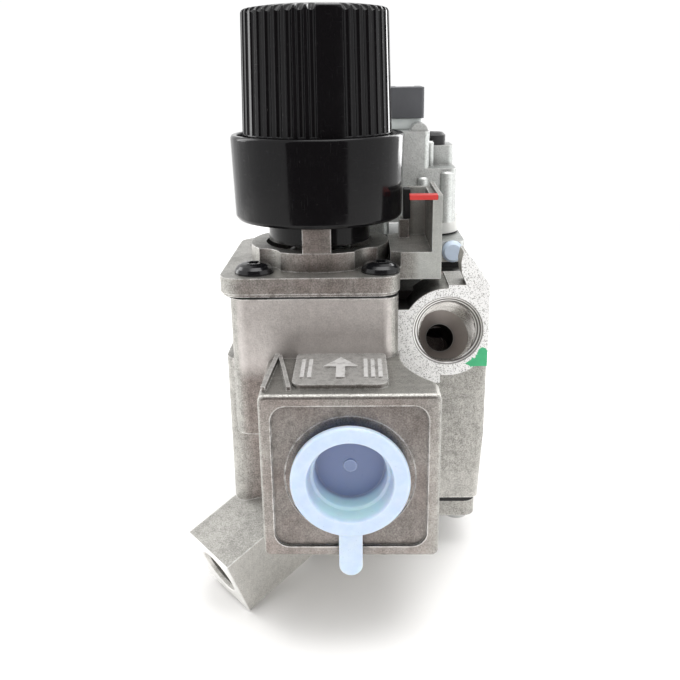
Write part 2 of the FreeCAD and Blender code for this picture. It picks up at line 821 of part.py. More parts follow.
def knob_skirt():
    x, y = d.knob_x, d.knob_y
    wall = d.skirt_wall
    low, high = d.skirt_low, d.skirt_high
    tip = d.skirt_high_radius
    outline = [
        (d.grip_low_radius - 3.0, high - 6.5),
        (tip - wall, high - 6.5),
        (d.skirt_low_radius - wall, low),
        (d.skirt_low_radius - 0.5, low),
        (d.skirt_low_radius, low + 0.8),
        (tip, high - 0.6),
        (tip - 0.4, high),
        (tip - 1.5, high),
        (tip - 1.9, high - 3.5),
        (d.grip_low_radius - 3.0, high - 3.5),
    ]
    name_node(turned("skirt", outline, x, y, 0.0), "knob_skirt")


def knob_grip():
    """Ribbed cap with a hub on the shaft and a plain pointer face."""
    x, y = d.knob_x, d.knob_y
    low, top = d.skirt_high - 3.4, d.grip_high
    hub = 6.0
    outline = [
        (d.shaft_radius + 0.02, 49.0),
        (9.2, 49.0),
        (9.2, 44.2),
        (12.6, 44.2),
        (12.6, low - 3.2),
        (d.grip_low_radius - 3.1, low - 3.2),
        (d.grip_low_radius - 3.1, low),
        (d.grip_low_radius, low),
        (d.grip_high_radius, top - 0.8),
        (d.grip_high_radius - 0.3, top - 0.25),
        (d.grip_high_radius - 0.9, top),
        (d.grip_high_radius * 0.72, top + 0.55),
        (d.grip_high_radius * 0.4, top + 0.88),
        (0.0, top + 1.0),
        (0.0, top - 1.4),
        (d.grip_high_radius - 2.8, top - 2.0),
        (d.grip_low_radius - 3.4, low + 2.0),
        (hub, low + 2.0),
        (hub, d.shaft_high + 1.6),
        (0.0, d.shaft_high + 1.6),
        (0.0, d.shaft_high + 0.02),
        (d.shaft_radius + 0.02, d.shaft_high + 0.02),
    ]
    body, sketch = new_body("grip", "XZ_Plane")
    polygon(sketch, outline)
    solid = body.newObject("PartDesign::Revolution", "grip_turned")
    solid.Profile = sketch
    solid.ReferenceAxis = (sketch, ["V_Axis"])
    solid.Angle = 360.0
    body.Tip = solid
    place(body, x, y, 0.0)
    count = int(d.rib_count.number)
    grooves = []
    lean = math.degrees(math.atan2(0.9, 28.0))
    rim_slope = 58.0
    for i in range(count):
        angle = 360.0 * (i + 0.5) / count
        if abs((angle - 280.0 + 180.0) % 360.0 - 180.0) < 9.0:
            continue
        around = Rotation(Vector(0, 0, 1), angle)
        out = around.multVec(Vector(d.grip_low_radius.number + 0.35, 0, 0))
        groove = rod(0.95, top.number - low.number - 2.0, 0, 0, 0)
        tilt = around.multiply(Rotation(Vector(0, 1, 0), -lean))
        groove.Placement = Placement(Vector(x.number, y.number, low.number + 3.6) + out, tilt)
        grooves.append(groove)
        notch = rod(0.95, 5.0, 0, 0, 0)
        slope = around.multiply(Rotation(Vector(0, 1, 0), -rim_slope))
        start = around.multVec(Vector(d.grip_high_radius.number + 0.9, 0, 0))
        notch.Placement = Placement(Vector(x.number, y.number, top.number - 1.0) + start, slope)
        grooves.append(notch)
    name_node(cut(body, *grooves), "knob_grip")


# ---------------------------------------------------------------- top cover

def top_cover():
    x, y = d.knob_x, d.knob_y
    low, high = d.cover_low, d.cover_top
    plate = slab("cover_plate", d.cover_left, d.cover_right, d.cover_front, d.cover_back,
                 d.cover_corner, d.cover_lip, high)
    inset = 0.5
    lip = slab("cover_lip_plate", d.cover_left + inset, d.cover_right - inset,
               d.cover_front + inset, d.cover_back - inset, d.cover_corner - inset,
               low, d.cover_lip + 0.5)
    collar = rod(d.collar_outer, d.collar_top - high + 1.0, x, y, high - 1.0)
    tab = common(
        box(x - 3.35, x + 3.35, y - 17.1, y - 13.4, high, 50.6),
        rod(17.1, 20.0, x, y, high))
    right, front, rear = 22.0, 33.0, 57.5
    floor, arm_top, frame_top = 42.0, 42.6, 54.9
    arm = box(d.cover_right - 2.0, right, front, rear, 36.0, arm_top)
    upright = box(right - 2.3, right, front, rear, floor, frame_top)
    upright_lip = box(right - 1.05, right, front, rear, floor + 12.0, frame_top + 1.1)
    back = box(14.6, right, rear - 2.5, rear, floor, frame_top)
    lug = box(12.8, 15.2, 50.4, 55.5, floor, 47.4)
    cuts = [
        rod(d.collar_inner, 20.0, x, y, high),
        rod(d.shaft_radius + 0.05, 20.0, x, y, low - 1.0),
        rod(4.7, 1.7, x, y, 36.35),
    ]
    for sx, sy in cover_spots():
        cuts.append(rod(d.screw_shank + 0.05, 6.0, sx, sy, low - 0.5))
        cuts.append(rod(d.screw_clearance, 8.0, sx, sy, high))
    shell = cut(fuse(plate, lip, collar, arm, upright, upright_lip, back, lug), *cuts)
    name_node(fuse(shell, tab), "top_cover")
    gasket = slab("cover_gasket", d.cover_left + 1.0, d.cover_right - 0.4, d.cover_front + 0.6,
                  d.cover_back - 1.0, d.cover_corner, d.tower_top, low)
    holes = [rod(d.screw_shank + 0.05, 2.0, sx, sy, d.tower_top - 0.5) for sx, sy in cover_spots()]
    name_node(cut(gasket, rod(d.bore_radius, 2.0, x, y, d.tower_top - 0.5), *holes), "cover_gasket")
    screws = [pan_screw("cover_screw", sx, sy, high, 14.0) for sx, sy in cover_spots()]
    name_node(group(*screws), "cover_screws")
    name_node(box(14.3, right - 1.1, front, front + 3.0, frame_top + 0.05, frame_top + 1.2),
              "red_marker_strip")
    name_node(box(13.8, 15.6, 50.8, 54.9, 47.45, 55.0), "index_block")


# ---------------------------------------------------------------- main valve and bottom

def main_valve():
    x, y = d.valve_x, d.valve_y
    seat = d.valve_seat_top
    low = d.body_bottom
    name_node(turned("main_stem", [
        (0.0, low + 0.02), (12.0, low + 0.02), (12.0, low + 1.4), (2.0, low + 1.4),
        (2.0, seat + 1.5), (9.6, seat + 1.5), (9.6, seat + 3.0), (1.6, seat + 3.0),
        (1.6, seat + 5.0), (0.0, seat + 5.0)], x, y), "main_valve_stem")
    name_node(ring("main_rubber", 2.0, 9.4, seat + 0.02, seat + 1.5, x, y), "main_valve_rubber")
    name_node(coil_spring("main_spring", 5.0, 0.45, seat + 3.02, d.valve_roof - 0.02, 5, x, y),
              "main_valve_spring")


def bottom_outline(name, low, high, inset=0.0):
    return slab(name, d.body_left + 1.0 + inset, d.body_right - 0.4 - inset,
                d.bottom_front + inset, d.body_back - inset, 3.0, low, high)


def bottom_holes():
    return [rod(d.screw_shank + 0.05, 20.0, x, y, d.body_bottom - 10.0) for x, y in bottom_spots()]


def bottom_cover():
    bottom = d.body_bottom
    sheet_low = bottom - d.diaphragm_thick
    name_node(cut(bottom_outline("diaphragm_sheet", sheet_low, bottom), *bottom_holes()),
              "main_diaphragm")
    plate_low = sheet_low - d.bottom_plate
    plate = bottom_outline("bottom_plate", plate_low, sheet_low)
    dish = rod(17.0, d.bottom_pan, d.valve_x, d.valve_y - 7.0, plate_low - d.bottom_pan)
    hollow = rod(14.0, 5.0, d.valve_x, d.valve_y - 7.0, sheet_low - 4.5)
    name_node(cut(fuse(plate, dish), hollow, *bottom_holes()), "bottom_cover")
    screws = [pan_screw("bottom_screw", x, y, plate_low, 13.0, d.screw_head - 0.6, "z")
              for x, y in bottom_spots()]
    name_node(group(*screws), "bottom_screws")


# ---------------------------------------------------------------- regulator and operator

def regulator():
    low, high = d.base_low, d.base_high
    x, y = d.reg_x, d.reg_y
    pack = fuse(
        box(d.base_step_x, d.base_right - 0.6, d.base_front + 0.6, d.base_back - 0.4,
            d.deck_top, low),
        box(d.base_left + 0.6, d.base_right - 0.6, d.base_step_y + 0.4, d.base_back - 0.4,
            d.deck_top, low))
    holes = [rod(d.screw_shank + 0.05, 12.0, sx, sy, d.deck_top - 1.0) for sx, sy in stack_spots()]
    name_node(cut(pack, *holes), "regulator_gasket")
    base = fuse(
        slab("base_front", d.base_step_x, d.base_right, d.base_front, d.base_back, 2.0, low, high),
        slab("base_rear", d.base_left, d.base_right, d.base_step_y, d.base_back, 2.0, low, high))
    pedestal = slab("pedestal", d.base_left, 11.0, d.base_step_y, d.base_back - 1.0, 2.0,
                    high - 1.0, d.housing_low)
    recess = rod(4.6, 5.0, x, y, high - 4.0)
    plunger_way = rod(2.7, 6.0, d.coil_x, d.coil_y, high)
    vent = rod(1.6, 12.0, d.vent_x, d.base_front - 1.0, d.vent_z, "y")
    base_holes = [rod(d.screw_shank + 0.05, 20.0, sx, sy, low - 1.0) for sx, sy in stack_spots()]
    name_node(cut(fuse(base, pedestal), recess, plunger_way, vent, *base_holes), "regulator_base")
    name_node(ring("white_ring", 5.6, d.ring_radius, high + 0.6, d.housing_low, x, y), "spacer_ring")
    name_node(rod(d.ring_radius - 0.2, 0.6, x, y, high), "regulator_diaphragm")
    name_node(turned("vent_plug", [
        (0.0, -2.2), (2.2, -2.2), (2.9, -1.4), (2.9, 0.0), (1.55, 0.0), (1.55, 6.0), (0.0, 6.0)],
        d.vent_x, d.base_front, d.vent_z, "y"), "vent_plug")
    name_node(turned("reg_plate", [
        (0.0, 0.0), (5.0, 0.0), (5.0, 1.0), (1.5, 1.0), (1.5, 2.5), (0.0, 2.5)],
        x, y, high + 0.62), "regulator_plate")
    name_node(coil_spring("reg_spring", 2.2, 0.3, high + 1.65, 58.9, 8, x, y), "regulator_spring")
    name_node(turned("reg_screw", [
        (0.0, 59.0), (2.9, 59.0), (2.9, 62.0), (1.2, 62.0), (1.2, 61.2), (0.0, 61.2)], x, y),
        "regulator_screw")
    name_node(turned("reg_cap", [
        (0.0, d.reg_top), (4.0, d.reg_top), (4.0, d.reg_top + 2.6), (3.2, d.reg_top + 3.3),
        (0.8, d.reg_top + 3.3), (0.8, d.reg_top + 2.0), (0.0, d.reg_top + 2.0)], x, y),
        "regulator_cap")


def post(name, radius, x, y, low, high):
    """A round cast post with a softened top."""
    return turned(name, [
        (0.0, 0.0), (radius, 0.0), (radius, high - low - 0.5), (radius - 0.4, high - low),
        (0.0, high - low)], x, y, low)


def operator():
    low, high = d.housing_low, d.housing_high
    x, y = d.coil_x, d.coil_y
    rx, ry = d.reg_x, d.reg_y
    block = slab("housing_block", d.housing_left, d.housing_right, d.housing_front,
                 d.housing_back, 1.5, low, high)
    tower = slab("coil_tower", d.coil_tower_left, d.coil_tower_right, d.housing_front,
                 d.housing_front + 8.0, 1.5, high - 2.0, d.coil_tower_top)
    tower_back = slab("coil_tower_rear", d.coil_tower_left, 16.6, d.housing_front,
                      d.coil_tower_back, 1.5, high - 2.0, d.coil_tower_top)
    turret = slab("regulator_turret", 16.0, d.housing_right - 0.1, 75.0, 86.0, 1.5,
                  high - 2.0, d.reg_top)
    bump = rod(2.2, 7.0, 18.9, d.housing_front + 0.6, d.coil_tower_top, "y")
    posts = [post("left_post", 1.6, 19.9, d.housing_front + 0.2, low, high - 2.2),
             post("right_post", 1.8, 26.4, d.housing_front + 0.3, low, high - 0.8),
             post("turret_post", 1.3, 22.0, 73.0, high - 1.0, d.reg_top + 1.4)]
    lid_depth = 1.4
    cuts = [
        rod(8.6, d.coil_tower_top - low - lid_depth + 1.0, x, y, low - 1.0),
        rod(3.3, 30.0, rx, ry, low - 1.0),
        rod(5.6, 3.2, rx, ry, low - 1.0),
    ]
    cuts += [rod(d.screw_shank + 0.05, 40.0, sx, sy, low - 1.0) for sx, sy in stack_spots()]
    cuts += [rod(d.stack_head + 0.2, 20.0, sx, sy, high) for sx, sy in stack_spots()]
    shell = fuse(block, tower, tower_back, turret, bump, *posts)
    name_node(cut(shell, *cuts), "operator_housing")
    screws = [pan_screw("stack_screw", sx, sy, high, 30.0, d.stack_head) for sx, sy in stack_spots()]
    name_node(group(*screws), "operator_screws")
    flange = 0.8
    floor = low + 0.2
    top = d.coil_tower_top - 1.8
    name_node(turned("bobbin", [
        (4.1, floor), (8.3, floor), (8.3, floor + flange), (4.9, floor + flange),
        (4.9, top - flange), (8.3, top - flange), (8.3, top), (4.1, top)], x, y), "coil_bobbin")
    name_node(ring("coil", 4.92, 8.0, floor + 0.9, top - 0.9, x, y), "operator_coil")
    name_node(rod(4.0, 6.0, x, y, top - 6.0), "fixed_core")
    name_node(turned("plunger", [
        (0.0, 41.62), (2.4, 41.62), (2.4, 46.0), (3.9, 46.0), (3.9, 57.6), (0.0, 57.6)],
        x, y), "operator_plunger")
    name_node(coil_spring("plunger_spring", 1.6, 0.25, 57.62, top - 6.02, 2, x, y),
              "plunger_spring")


def terminals():
    low, high = d.coil_tower_top, d.insulator_high
    left, right = -5.0, 20.6
    front, back = 74.6, 90.5
    sheet = slab("insulator", left + 2.0, right - 0.6, front + 0.6, back, 1.0, low, high)
    name_node(sheet, "insulator_plate")
    block = slab("terminal_body", left, right, front, back, 0.8, high, d.terminal_high)
    spots = [left + 4.5 + 8.3 * i for i in range(3)]
    wells = [rod(2.6, 2.2, sx, 80.5, d.terminal_high - 2.0) for sx in spots]
    holes = [rod(1.45, 5.4, sx, 80.5, d.terminal_high - 5.4) for sx in spots]
    slots = [box(sx - 2.7, sx + 2.7, 84.0, back + 1.0, d.terminal_high - 3.0,
                 d.terminal_high + 1.0) for sx in spots]
    name_node(cut(block, *wells, *holes, *slots), "terminal_block")
    screws = [turned("terminal_screw", [
        (0.0, 1.4), (0.0, 0.9), (0.5, 0.9), (0.5, 1.4), (2.4, 1.0), (2.4, 0.0), (1.4, 0.0),
        (1.4, -3.2), (0.0, -3.2)], sx, 80.5, d.terminal_high - 1.98) for sx in spots]
    name_node(group(*screws), "terminal_screws")
    tabs = [box(sx - 2.4, sx + 2.4, 84.1, back + 6.0, d.terminal_high - 3.0,
                d.terminal_high - 2.2) for sx in spots]
    name_node(group(*tabs), "terminal_tabs")


# ---------------------------------------------------------------- small parts

def pilot_screw():
    x, y, top = d.pilot_screw_x, d.pilot_screw_y, d.deck_top
    name_node(turned("pilot_screw", [
        (0.0, -9.6), (1.5, -7.8), (1.5, -3.0), (3.4, -3.0), (3.4, 0.6), (3.0, 1.0),
        (1.2, 1.0), (1.2, -0.4), (0.0, -0.4)], x, y, top), "pilot_screw")


def outlet_test_point():
    x, y, seat = -14.0, 84.0, d.deck_top
    nipple = turned("nipple", [
        (1.3, 0.0), (4.0, 0.0), (4.0, 2.0), (3.2, 2.0), (3.9, 4.0), (3.4, 7.6), (2.0, 7.6),
        (2.0, 3.0), (1.3, 3.0)], x, y, seat)
    name_node(nipple, "outlet_test_nipple")
    screw = turned("test_screw", [
        (0.0, 3.05), (1.95, 3.05), (1.95, 7.0), (0.6, 7.0), (0.6, 6.0), (0.0, 6.0)], x, y, seat)
    name_node(screw, "outlet_test_screw")


def inlet_parts():
    plug_depth = d.cap_plug_depth
    front = d.cap_flange_front
    back = front + d.cap_flange_thick
    floor = plug_depth - d.cap_wall
    mouth = d.cap_mouth_radius
    low_radius = d.cap_floor_radius
    step = 1.6
    cup = turned("cap_cup", [
        (0.0, floor), (low_radius, floor), (low_radius + 0.5, step + 0.4),
        (low_radius + 1.1, step), (mouth - 0.3, front + 0.6), (mouth, front),
        (d.cap_flange_radius - 0.4, front), (d.cap_flange_radius, front + 0.4),
        (d.cap_flange_radius, back), (d.cap_plug_radius, back),
        (d.cap_plug_radius - 1.0, plug_depth), (0.0, plug_depth)], 0.0, 0.0, 0.0, "y")
    nub = rod(1.5, 1.0, 0.0, floor - 0.5, 0.3, "y")
    tab_top, tab_end, half = -d.cap_flange_radius + 1.4, -20.2, 2.6
    tab = box(-half, half, front + 0.2, back - 0.1, tab_end, tab_top)
    tab_round = rod(half, d.cap_flange_thick - 0.3, 0.0, front + 0.2, tab_end, "y")
    name_node(fuse(cup, nub, tab, tab_round), "inlet_cap")
    spot = 19.0
    rim = ring("strainer_rim", 6.8, d.main_passage_radius - 0.02, 0.0, 1.2, 0.0, spot, 0.0, "y")
    bars = [box(-6.9 + 2.76 * i - 0.3, -6.9 + 2.76 * i + 0.3, spot + 0.2, spot + 0.8, -7.6, 7.6)
            for i in range(1, 5)]
    bars += [box(-7.6, 7.6, spot + 0.2, spot + 0.8, -6.9 + 2.76 * i - 0.3, -6.9 + 2.76 * i + 0.3)
             for i in range(1, 5)]
    screen = common(fuse(*bars), rod(7.4, 1.2, 0.0, spot, 0.0, "y"))
    name_node(fuse(rim, screen), "inlet_strainer")


# ---------------------------------------------------------------- build and write

def build():
    main_body()
    safety_valve()
    magnet_unit()
    plug()
    knob_shaft()
    knob_skirt()
    knob_grip()
    top_cover()
    main_valve()
    bottom_cover()
    regulator()
    operator()
    terminals()
    pilot_screw()
    outlet_test_point()
    inlet_parts()
    doc.recompute()


def faults():
    found = []
    for thing in doc.Objects:
        if "Invalid" in thing.State or "Error" in thing.State:
            found.append(thing.Name + " " + ", ".join(thing.State))
    for node in nodes:
        if node.Shape.isNull() or not node.Shape.isValid() or node.Shape.Volume <= 0:
            found.append(node.Label + " has no sound shape")
    return found


def write_nodes():
    os.makedirs("parts", exist_ok=True)
    for node in nodes:
        node.Shape.exportStep(os.path.join("parts", node.Label + ".step"))
        print(node.Label, len(node.Shape.Solids), "solid(s)", round(node.Shape.Volume, 1), "mm3")


build()
problems = faults()
if problems:
    raise RuntimeError("; ".join(problems))
write_nodes()
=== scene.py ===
import json
import math

import bmesh
import bpy
from mathutils import Matrix, Vector


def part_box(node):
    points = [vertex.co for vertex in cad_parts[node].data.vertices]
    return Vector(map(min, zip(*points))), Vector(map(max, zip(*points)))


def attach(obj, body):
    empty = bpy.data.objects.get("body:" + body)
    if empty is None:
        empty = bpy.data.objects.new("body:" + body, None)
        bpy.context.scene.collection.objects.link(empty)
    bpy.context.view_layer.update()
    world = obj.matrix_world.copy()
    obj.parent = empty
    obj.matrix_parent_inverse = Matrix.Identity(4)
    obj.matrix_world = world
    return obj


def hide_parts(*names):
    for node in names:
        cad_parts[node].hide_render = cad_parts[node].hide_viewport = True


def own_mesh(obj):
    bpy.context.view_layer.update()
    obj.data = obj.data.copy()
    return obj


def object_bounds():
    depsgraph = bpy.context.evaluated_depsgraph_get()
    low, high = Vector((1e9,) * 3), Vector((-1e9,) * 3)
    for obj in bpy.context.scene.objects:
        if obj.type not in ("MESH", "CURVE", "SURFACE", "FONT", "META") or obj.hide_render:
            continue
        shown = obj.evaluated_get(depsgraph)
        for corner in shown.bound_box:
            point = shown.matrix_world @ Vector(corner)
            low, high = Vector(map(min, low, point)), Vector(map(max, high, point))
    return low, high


# Blender scene of a millivolt gas control valve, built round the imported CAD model.
# Lengths are in metres in the row frame: +Z up along the knob, +Y with the gas, +X to the right.
# Millimetres are multiplied by MM, or go to the methods of Finish that say so.

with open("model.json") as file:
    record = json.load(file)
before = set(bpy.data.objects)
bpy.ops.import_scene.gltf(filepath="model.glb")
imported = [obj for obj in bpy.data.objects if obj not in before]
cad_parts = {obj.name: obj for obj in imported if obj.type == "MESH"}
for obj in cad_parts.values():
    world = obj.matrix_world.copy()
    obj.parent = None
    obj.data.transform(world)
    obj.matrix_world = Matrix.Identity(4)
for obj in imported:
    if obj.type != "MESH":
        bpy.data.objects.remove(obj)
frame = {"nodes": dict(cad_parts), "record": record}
nodes = frame["nodes"]
cad_low, cad_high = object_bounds()

MM = 0.001
X, Y, Z = (1.0, 0.0, 0.0), (0.0, 1.0, 0.0), (0.0, 0.0, 1.0)
LEFT, INLET_SIDE = (-1.0, 0.0, 0.0), (0.0, -1.0, 0.0)
FAR = 60.0                                    # outer limit of masks that need none, in millimetres
MOUNTS = {mount["name"]: mount for mount in frame["record"]["mounts"]}
PILOT_CENTRE = (0.0236, 0.030, 0.0238)        # middle of the pilot port's mouth
BORE_EDGE = 9.2                               # radius of the recess round it, in millimetres


# ---------------------------------------------------------------- studio

def look_matrix(position, yaw, pitch, roll):
    """Camera matrix for a yaw from +Y, a pitch below the horizon and a roll, in degrees."""
    yaw, pitch, roll = (math.radians(angle) for angle in (yaw, pitch, roll))
    level = math.cos(pitch)
    forward = Vector((math.sin(yaw) * level, math.cos(yaw) * level, -math.sin(pitch)))
    right = Vector((math.cos(yaw), -math.sin(yaw), 0.0))
    up = right.cross(forward)
    rolled_right = math.cos(roll) * right + math.sin(roll) * up
    rolled_up = -math.sin(roll) * right + math.cos(roll) * up
    rotation = Matrix((rolled_right, rolled_up, -forward)).transposed()
    return Matrix.Translation(position) @ rotation.to_4x4()


def add_camera():
    """A camera at the inlet end, above the ports and looking a little down."""
    position = Vector((0.00197, -0.15975, 0.08471))
    yaw, pitch, roll = -1.331, 18.359, -0.88
    data = bpy.data.cameras.new("camera")
    data.sensor_width = 36.0
    data.lens = 43.57
    data.clip_start = 0.01
    data.clip_end = 20.0
    camera = bpy.data.objects.new("camera", data)
    bpy.context.collection.objects.link(camera)
    camera.matrix_world = look_matrix(position, yaw, pitch, roll)
    bpy.context.scene.camera = camera
    bpy.context.scene.view_settings.view_transform = "Standard"


def area_light(name, place, target, size, power):
    """A rectangular soft box at place that faces target, its power in watts."""
    data = bpy.data.lights.new(name, "AREA")
    data.shape = "RECTANGLE"
    data.size, data.size_y = size
    data.energy = power
    light = bpy.data.objects.new(name, data)
    bpy.context.collection.objects.link(light)
    light.location = place
    light.rotation_mode = "QUATERNION"
    light.rotation_quaternion = (Vector(target) - Vector(place)).to_track_quat("-Z", "Y")


def add_lights():
    """A white room, with soft boxes overhead and behind the object on each side."""
    world = bpy.data.worlds.new("studio")
    bpy.context.scene.world = world
    world.use_nodes = True
    background = world.node_tree.nodes["Background"]
    background.inputs["Color"].default_value = (1.0, 1.0, 1.0, 1.0)
    background.inputs["Strength"].default_value = 1.02
    middle = (0.0, 0.045, 0.02)
    area_light("overhead", (0.12, -0.02, 0.8), middle, (0.6, 0.6), 3.6)
    area_light("left_box", (-0.62, 0.34, 0.3), middle, (0.3, 0.6), 2.2)
    area_light("right_box", (0.40, 0.60, 0.25), middle, (0.2, 0.6), 2.2)


def staged(name, bm, finish):
    """A mesh of the studio, which isn't part of the object."""
    mesh = bpy.data.meshes.new(name)
    bm.to_mesh(mesh)
    bm.free()
    piece = bpy.data.objects.new(name, mesh)
    bpy.context.collection.objects.link(piece)
    mesh.materials.append(finish)
    return piece


def add_floor():
    """A round sheet of pale paper, just under the object's lowest point."""
    radius = 0.55
    gap = 0.0002
    floor = bmesh.new()
    bmesh.ops.create_circle(floor, cap_ends=True, segments=96, radius=radius)
    paper = Finish("floor", (0.92, 0.912, 0.9), 0.8)
    staged("floor", floor, paper.material).location.z = cad_low.z - gap


def add_flag():
    """A dark studio card in front of the object. Only reflections show it."""
    width, height = 0.46, 0.44
    middle_height = 0.225
    flag = bmesh.new()
    bmesh.ops.create_grid(flag, x_segments=1, y_segments=1, size=0.5)
    cloth = Finish("flag", (0.022, 0.010, 0.010), 0.9)
    card = staged("flag", flag, cloth.material)
    card.scale = (width, height, 1.0)
    card.rotation_euler = (math.radians(90), 0, 0)
    card.location = (0.01, -0.24, cad_low.z + middle_height)
    card.visible_camera = False
    card.visible_diffuse = False
    card.visible_shadow = False


# ---------------------------------------------------------------- finishes

class Finish:
    """A Principled material, with short calls for the procedural nodes that its detail needs."""

    def __init__(self, name, colour, roughness, metallic=0.0, **more):
        self.material = bpy.data.materials.new(name)
        self.material.use_nodes = True
        self.tree = self.material.node_tree
        self.surface = self.tree.nodes["Principled BSDF"]
        self.set("Base Color", (*colour, 1.0))
        self.set("Roughness", roughness)
        self.set("Metallic", metallic)
        for socket, value in more.items():
            self.set(socket.replace("_", " "), value)
        self.place = self.node("ShaderNodeTexCoord").outputs["Object"]
        self.normal = self.node("ShaderNodeNewGeometry").outputs["Normal"]
        self.relief = None

    def set(self, socket, value):
        """Sets one of the shader's own sockets."""
        self.surface.inputs[socket].default_value = value

    def feed(self, socket, output):
        """Drives one of the shader's sockets from a node's output."""
        self.tree.links.new(output, self.surface.inputs[socket])

    def node(self, kind, inputs=None, **settings):
        """A new node; each input is a value or another node's output."""
        made = self.tree.nodes.new(kind)
        for key, value in settings.items():
            setattr(made, key, value)
        for key, value in (inputs or {}).items():
            if isinstance(value, bpy.types.NodeSocket):
                self.tree.links.new(value, made.inputs[key])
            else:
                made.inputs[key].default_value = value
        return made

    def calc(self, operation, first, second=0.0):
        return self.node("ShaderNodeMath", {0: first, 1: second}, operation=operation).outputs[0]

    def vector(self, operation, first, second=None):
        """A vector node's result, which is a number for DOT_PRODUCT and LENGTH."""
        inputs = {0: first}
        if second is not None:
            inputs[1] = tuple(second) if not isinstance(second, bpy.types.NodeSocket) else second
        made = self.node("ShaderNodeVectorMath", inputs, operation=operation)
        return made.outputs["Value" if operation in ("DOT_PRODUCT", "LENGTH") else "Vector"]

    def span(self, value, low, high, start=0.0, end=1.0):
        """value from low to high, mapped onto start to end and clamped there."""
        return self.node("ShaderNodeMapRange", {0: value, 1: low, 2: high, 3: start, 4: end}).outputs[0]

    def mix(self, share, first, second, blend="MIX"):
        """The colour between first and second at that share; each is a colour or a socket."""
        colours = [(*c, 1.0) if isinstance(c, tuple) else c for c in (first, second)]
        made = self.node("ShaderNodeMix", {0: share, 6: colours[0], 7: colours[1]},
                         data_type="RGBA", blend_type=blend)
        return made.outputs[2]

    def tint(self, mask, share, first, second):
        """first, with share of second inside the mask."""
        return self.mix(self.calc("MULTIPLY", mask, share), first, second)

    def all_of(self, *masks):
        """1 where every mask is 1."""
        together = masks[0]
        for mask in masks[1:]:
            together = self.calc("MULTIPLY", together, mask)
        return together

    def any_of(self, *masks):
        """1 where some mask is 1."""
        together = masks[0]
        for mask in masks[1:]:
            together = self.calc("MAXIMUM", together, mask)
        return together

    def noise(self, size, detail=3.0, stretch=(1.0, 1.0, 1.0), shift=0.0):
        """Noise with features of about size millimetres, longer along an axis whose stretch is above 1."""
        scale = tuple(1.0 / length for length in stretch)
        laid = self.node("ShaderNodeMapping",
                         {"Vector": self.place, "Location": (shift,) * 3, "Scale": scale})
        made = self.node("ShaderNodeTexNoise", {"Vector": laid.outputs[0], "Scale": 1.0 / (size * MM),
                                                "Detail": detail, "Roughness": 0.6})
        return made.outputs[0]

    def specks(self, size, share):
        """1 inside round specks on a grid of about size millimetres, covering that share of it."""
        made = self.node("ShaderNodeTexVoronoi", {"Vector": self.place, "Scale": 1.0 / (size * MM)})
        return self.span(made.outputs["Distance"], share, share * 0.6)

    def along(self, direction):
        """Distance from the origin along a direction, in metres."""
        return self.vector("DOT_PRODUCT", self.place, direction)

    def around(self, centre, direction):
        """Distance from an axis through centre, in metres."""
        offset = self.vector("SUBTRACT", self.place, centre)
        return self.vector("LENGTH", self.vector("CROSS_PRODUCT", offset, direction))

    def facing(self, direction, start=0.75, full=0.92):
        """1 on surfaces that face a direction, and 0 on those that turn away from it."""
        return self.span(self.vector("DOT_PRODUCT", self.normal, direction), start, full)

    def between(self, direction, low, high, blend=0.1):
        """1 between two distances in millimetres along a direction, and 0 outside them."""
        value = self.along(direction)
        above = self.span(value, (low - blend) * MM, (low + blend) * MM)
        below = self.span(value, (high + blend) * MM, (high - blend) * MM)
        return self.calc("MULTIPLY", above, below)

    def edges(self, radius):
        """1 on edges sharper than radius millimetres, from the normal rounded over that distance."""
        soft = self.node("ShaderNodeBevel", {"Radius": radius * MM}, samples=4)
        return self.span(self.vector("DOT_PRODUCT", soft.outputs[0], self.normal), 0.985, 0.86)

    def crevices(self, distance):
        """1 deep in corners and holes within distance millimetres, and 0 in the open."""
        made = self.node("ShaderNodeAmbientOcclusion", {"Distance": distance * MM}, samples=6)
        return self.span(made.outputs["AO"], 0.85, 0.25)

    def bump(self, height, depth, strength=1.0):
        """Adds relief, depth millimetres high where height is 1."""
        inputs = {"Height": height, "Distance": depth * MM, "Strength": strength}
        if self.relief is not None:
            inputs["Normal"] = self.relief
        self.relief = self.node("ShaderNodeBump", inputs).outputs[0]
        self.feed("Normal", self.relief)


# ---------------------------------------------------------------- castings
#
# Where a docstring speaks of painted light or painted shade, that tone goes by place and by the way a face
# turns, and is fixed to the object.

def front_painted_shade(metal, colour, right, high):
    """Painted warm shade on faces to the inlet's side, as far as right and thinned above the pad."""
    front_shade = metal.all_of(metal.span(metal.noise(14.0, 3.0, shift=9.0), 0.30, 0.60, 0.45, 1.0),
                        metal.facing(INLET_SIDE), metal.between(X, -26.0, right, 2.0),
                        metal.span(metal.along(Z), 18.0 * MM, 20.0 * MM, 1.0, high))
    return metal.mix(front_shade, colour, (0.70, 0.62, 0.61), "MULTIPLY")


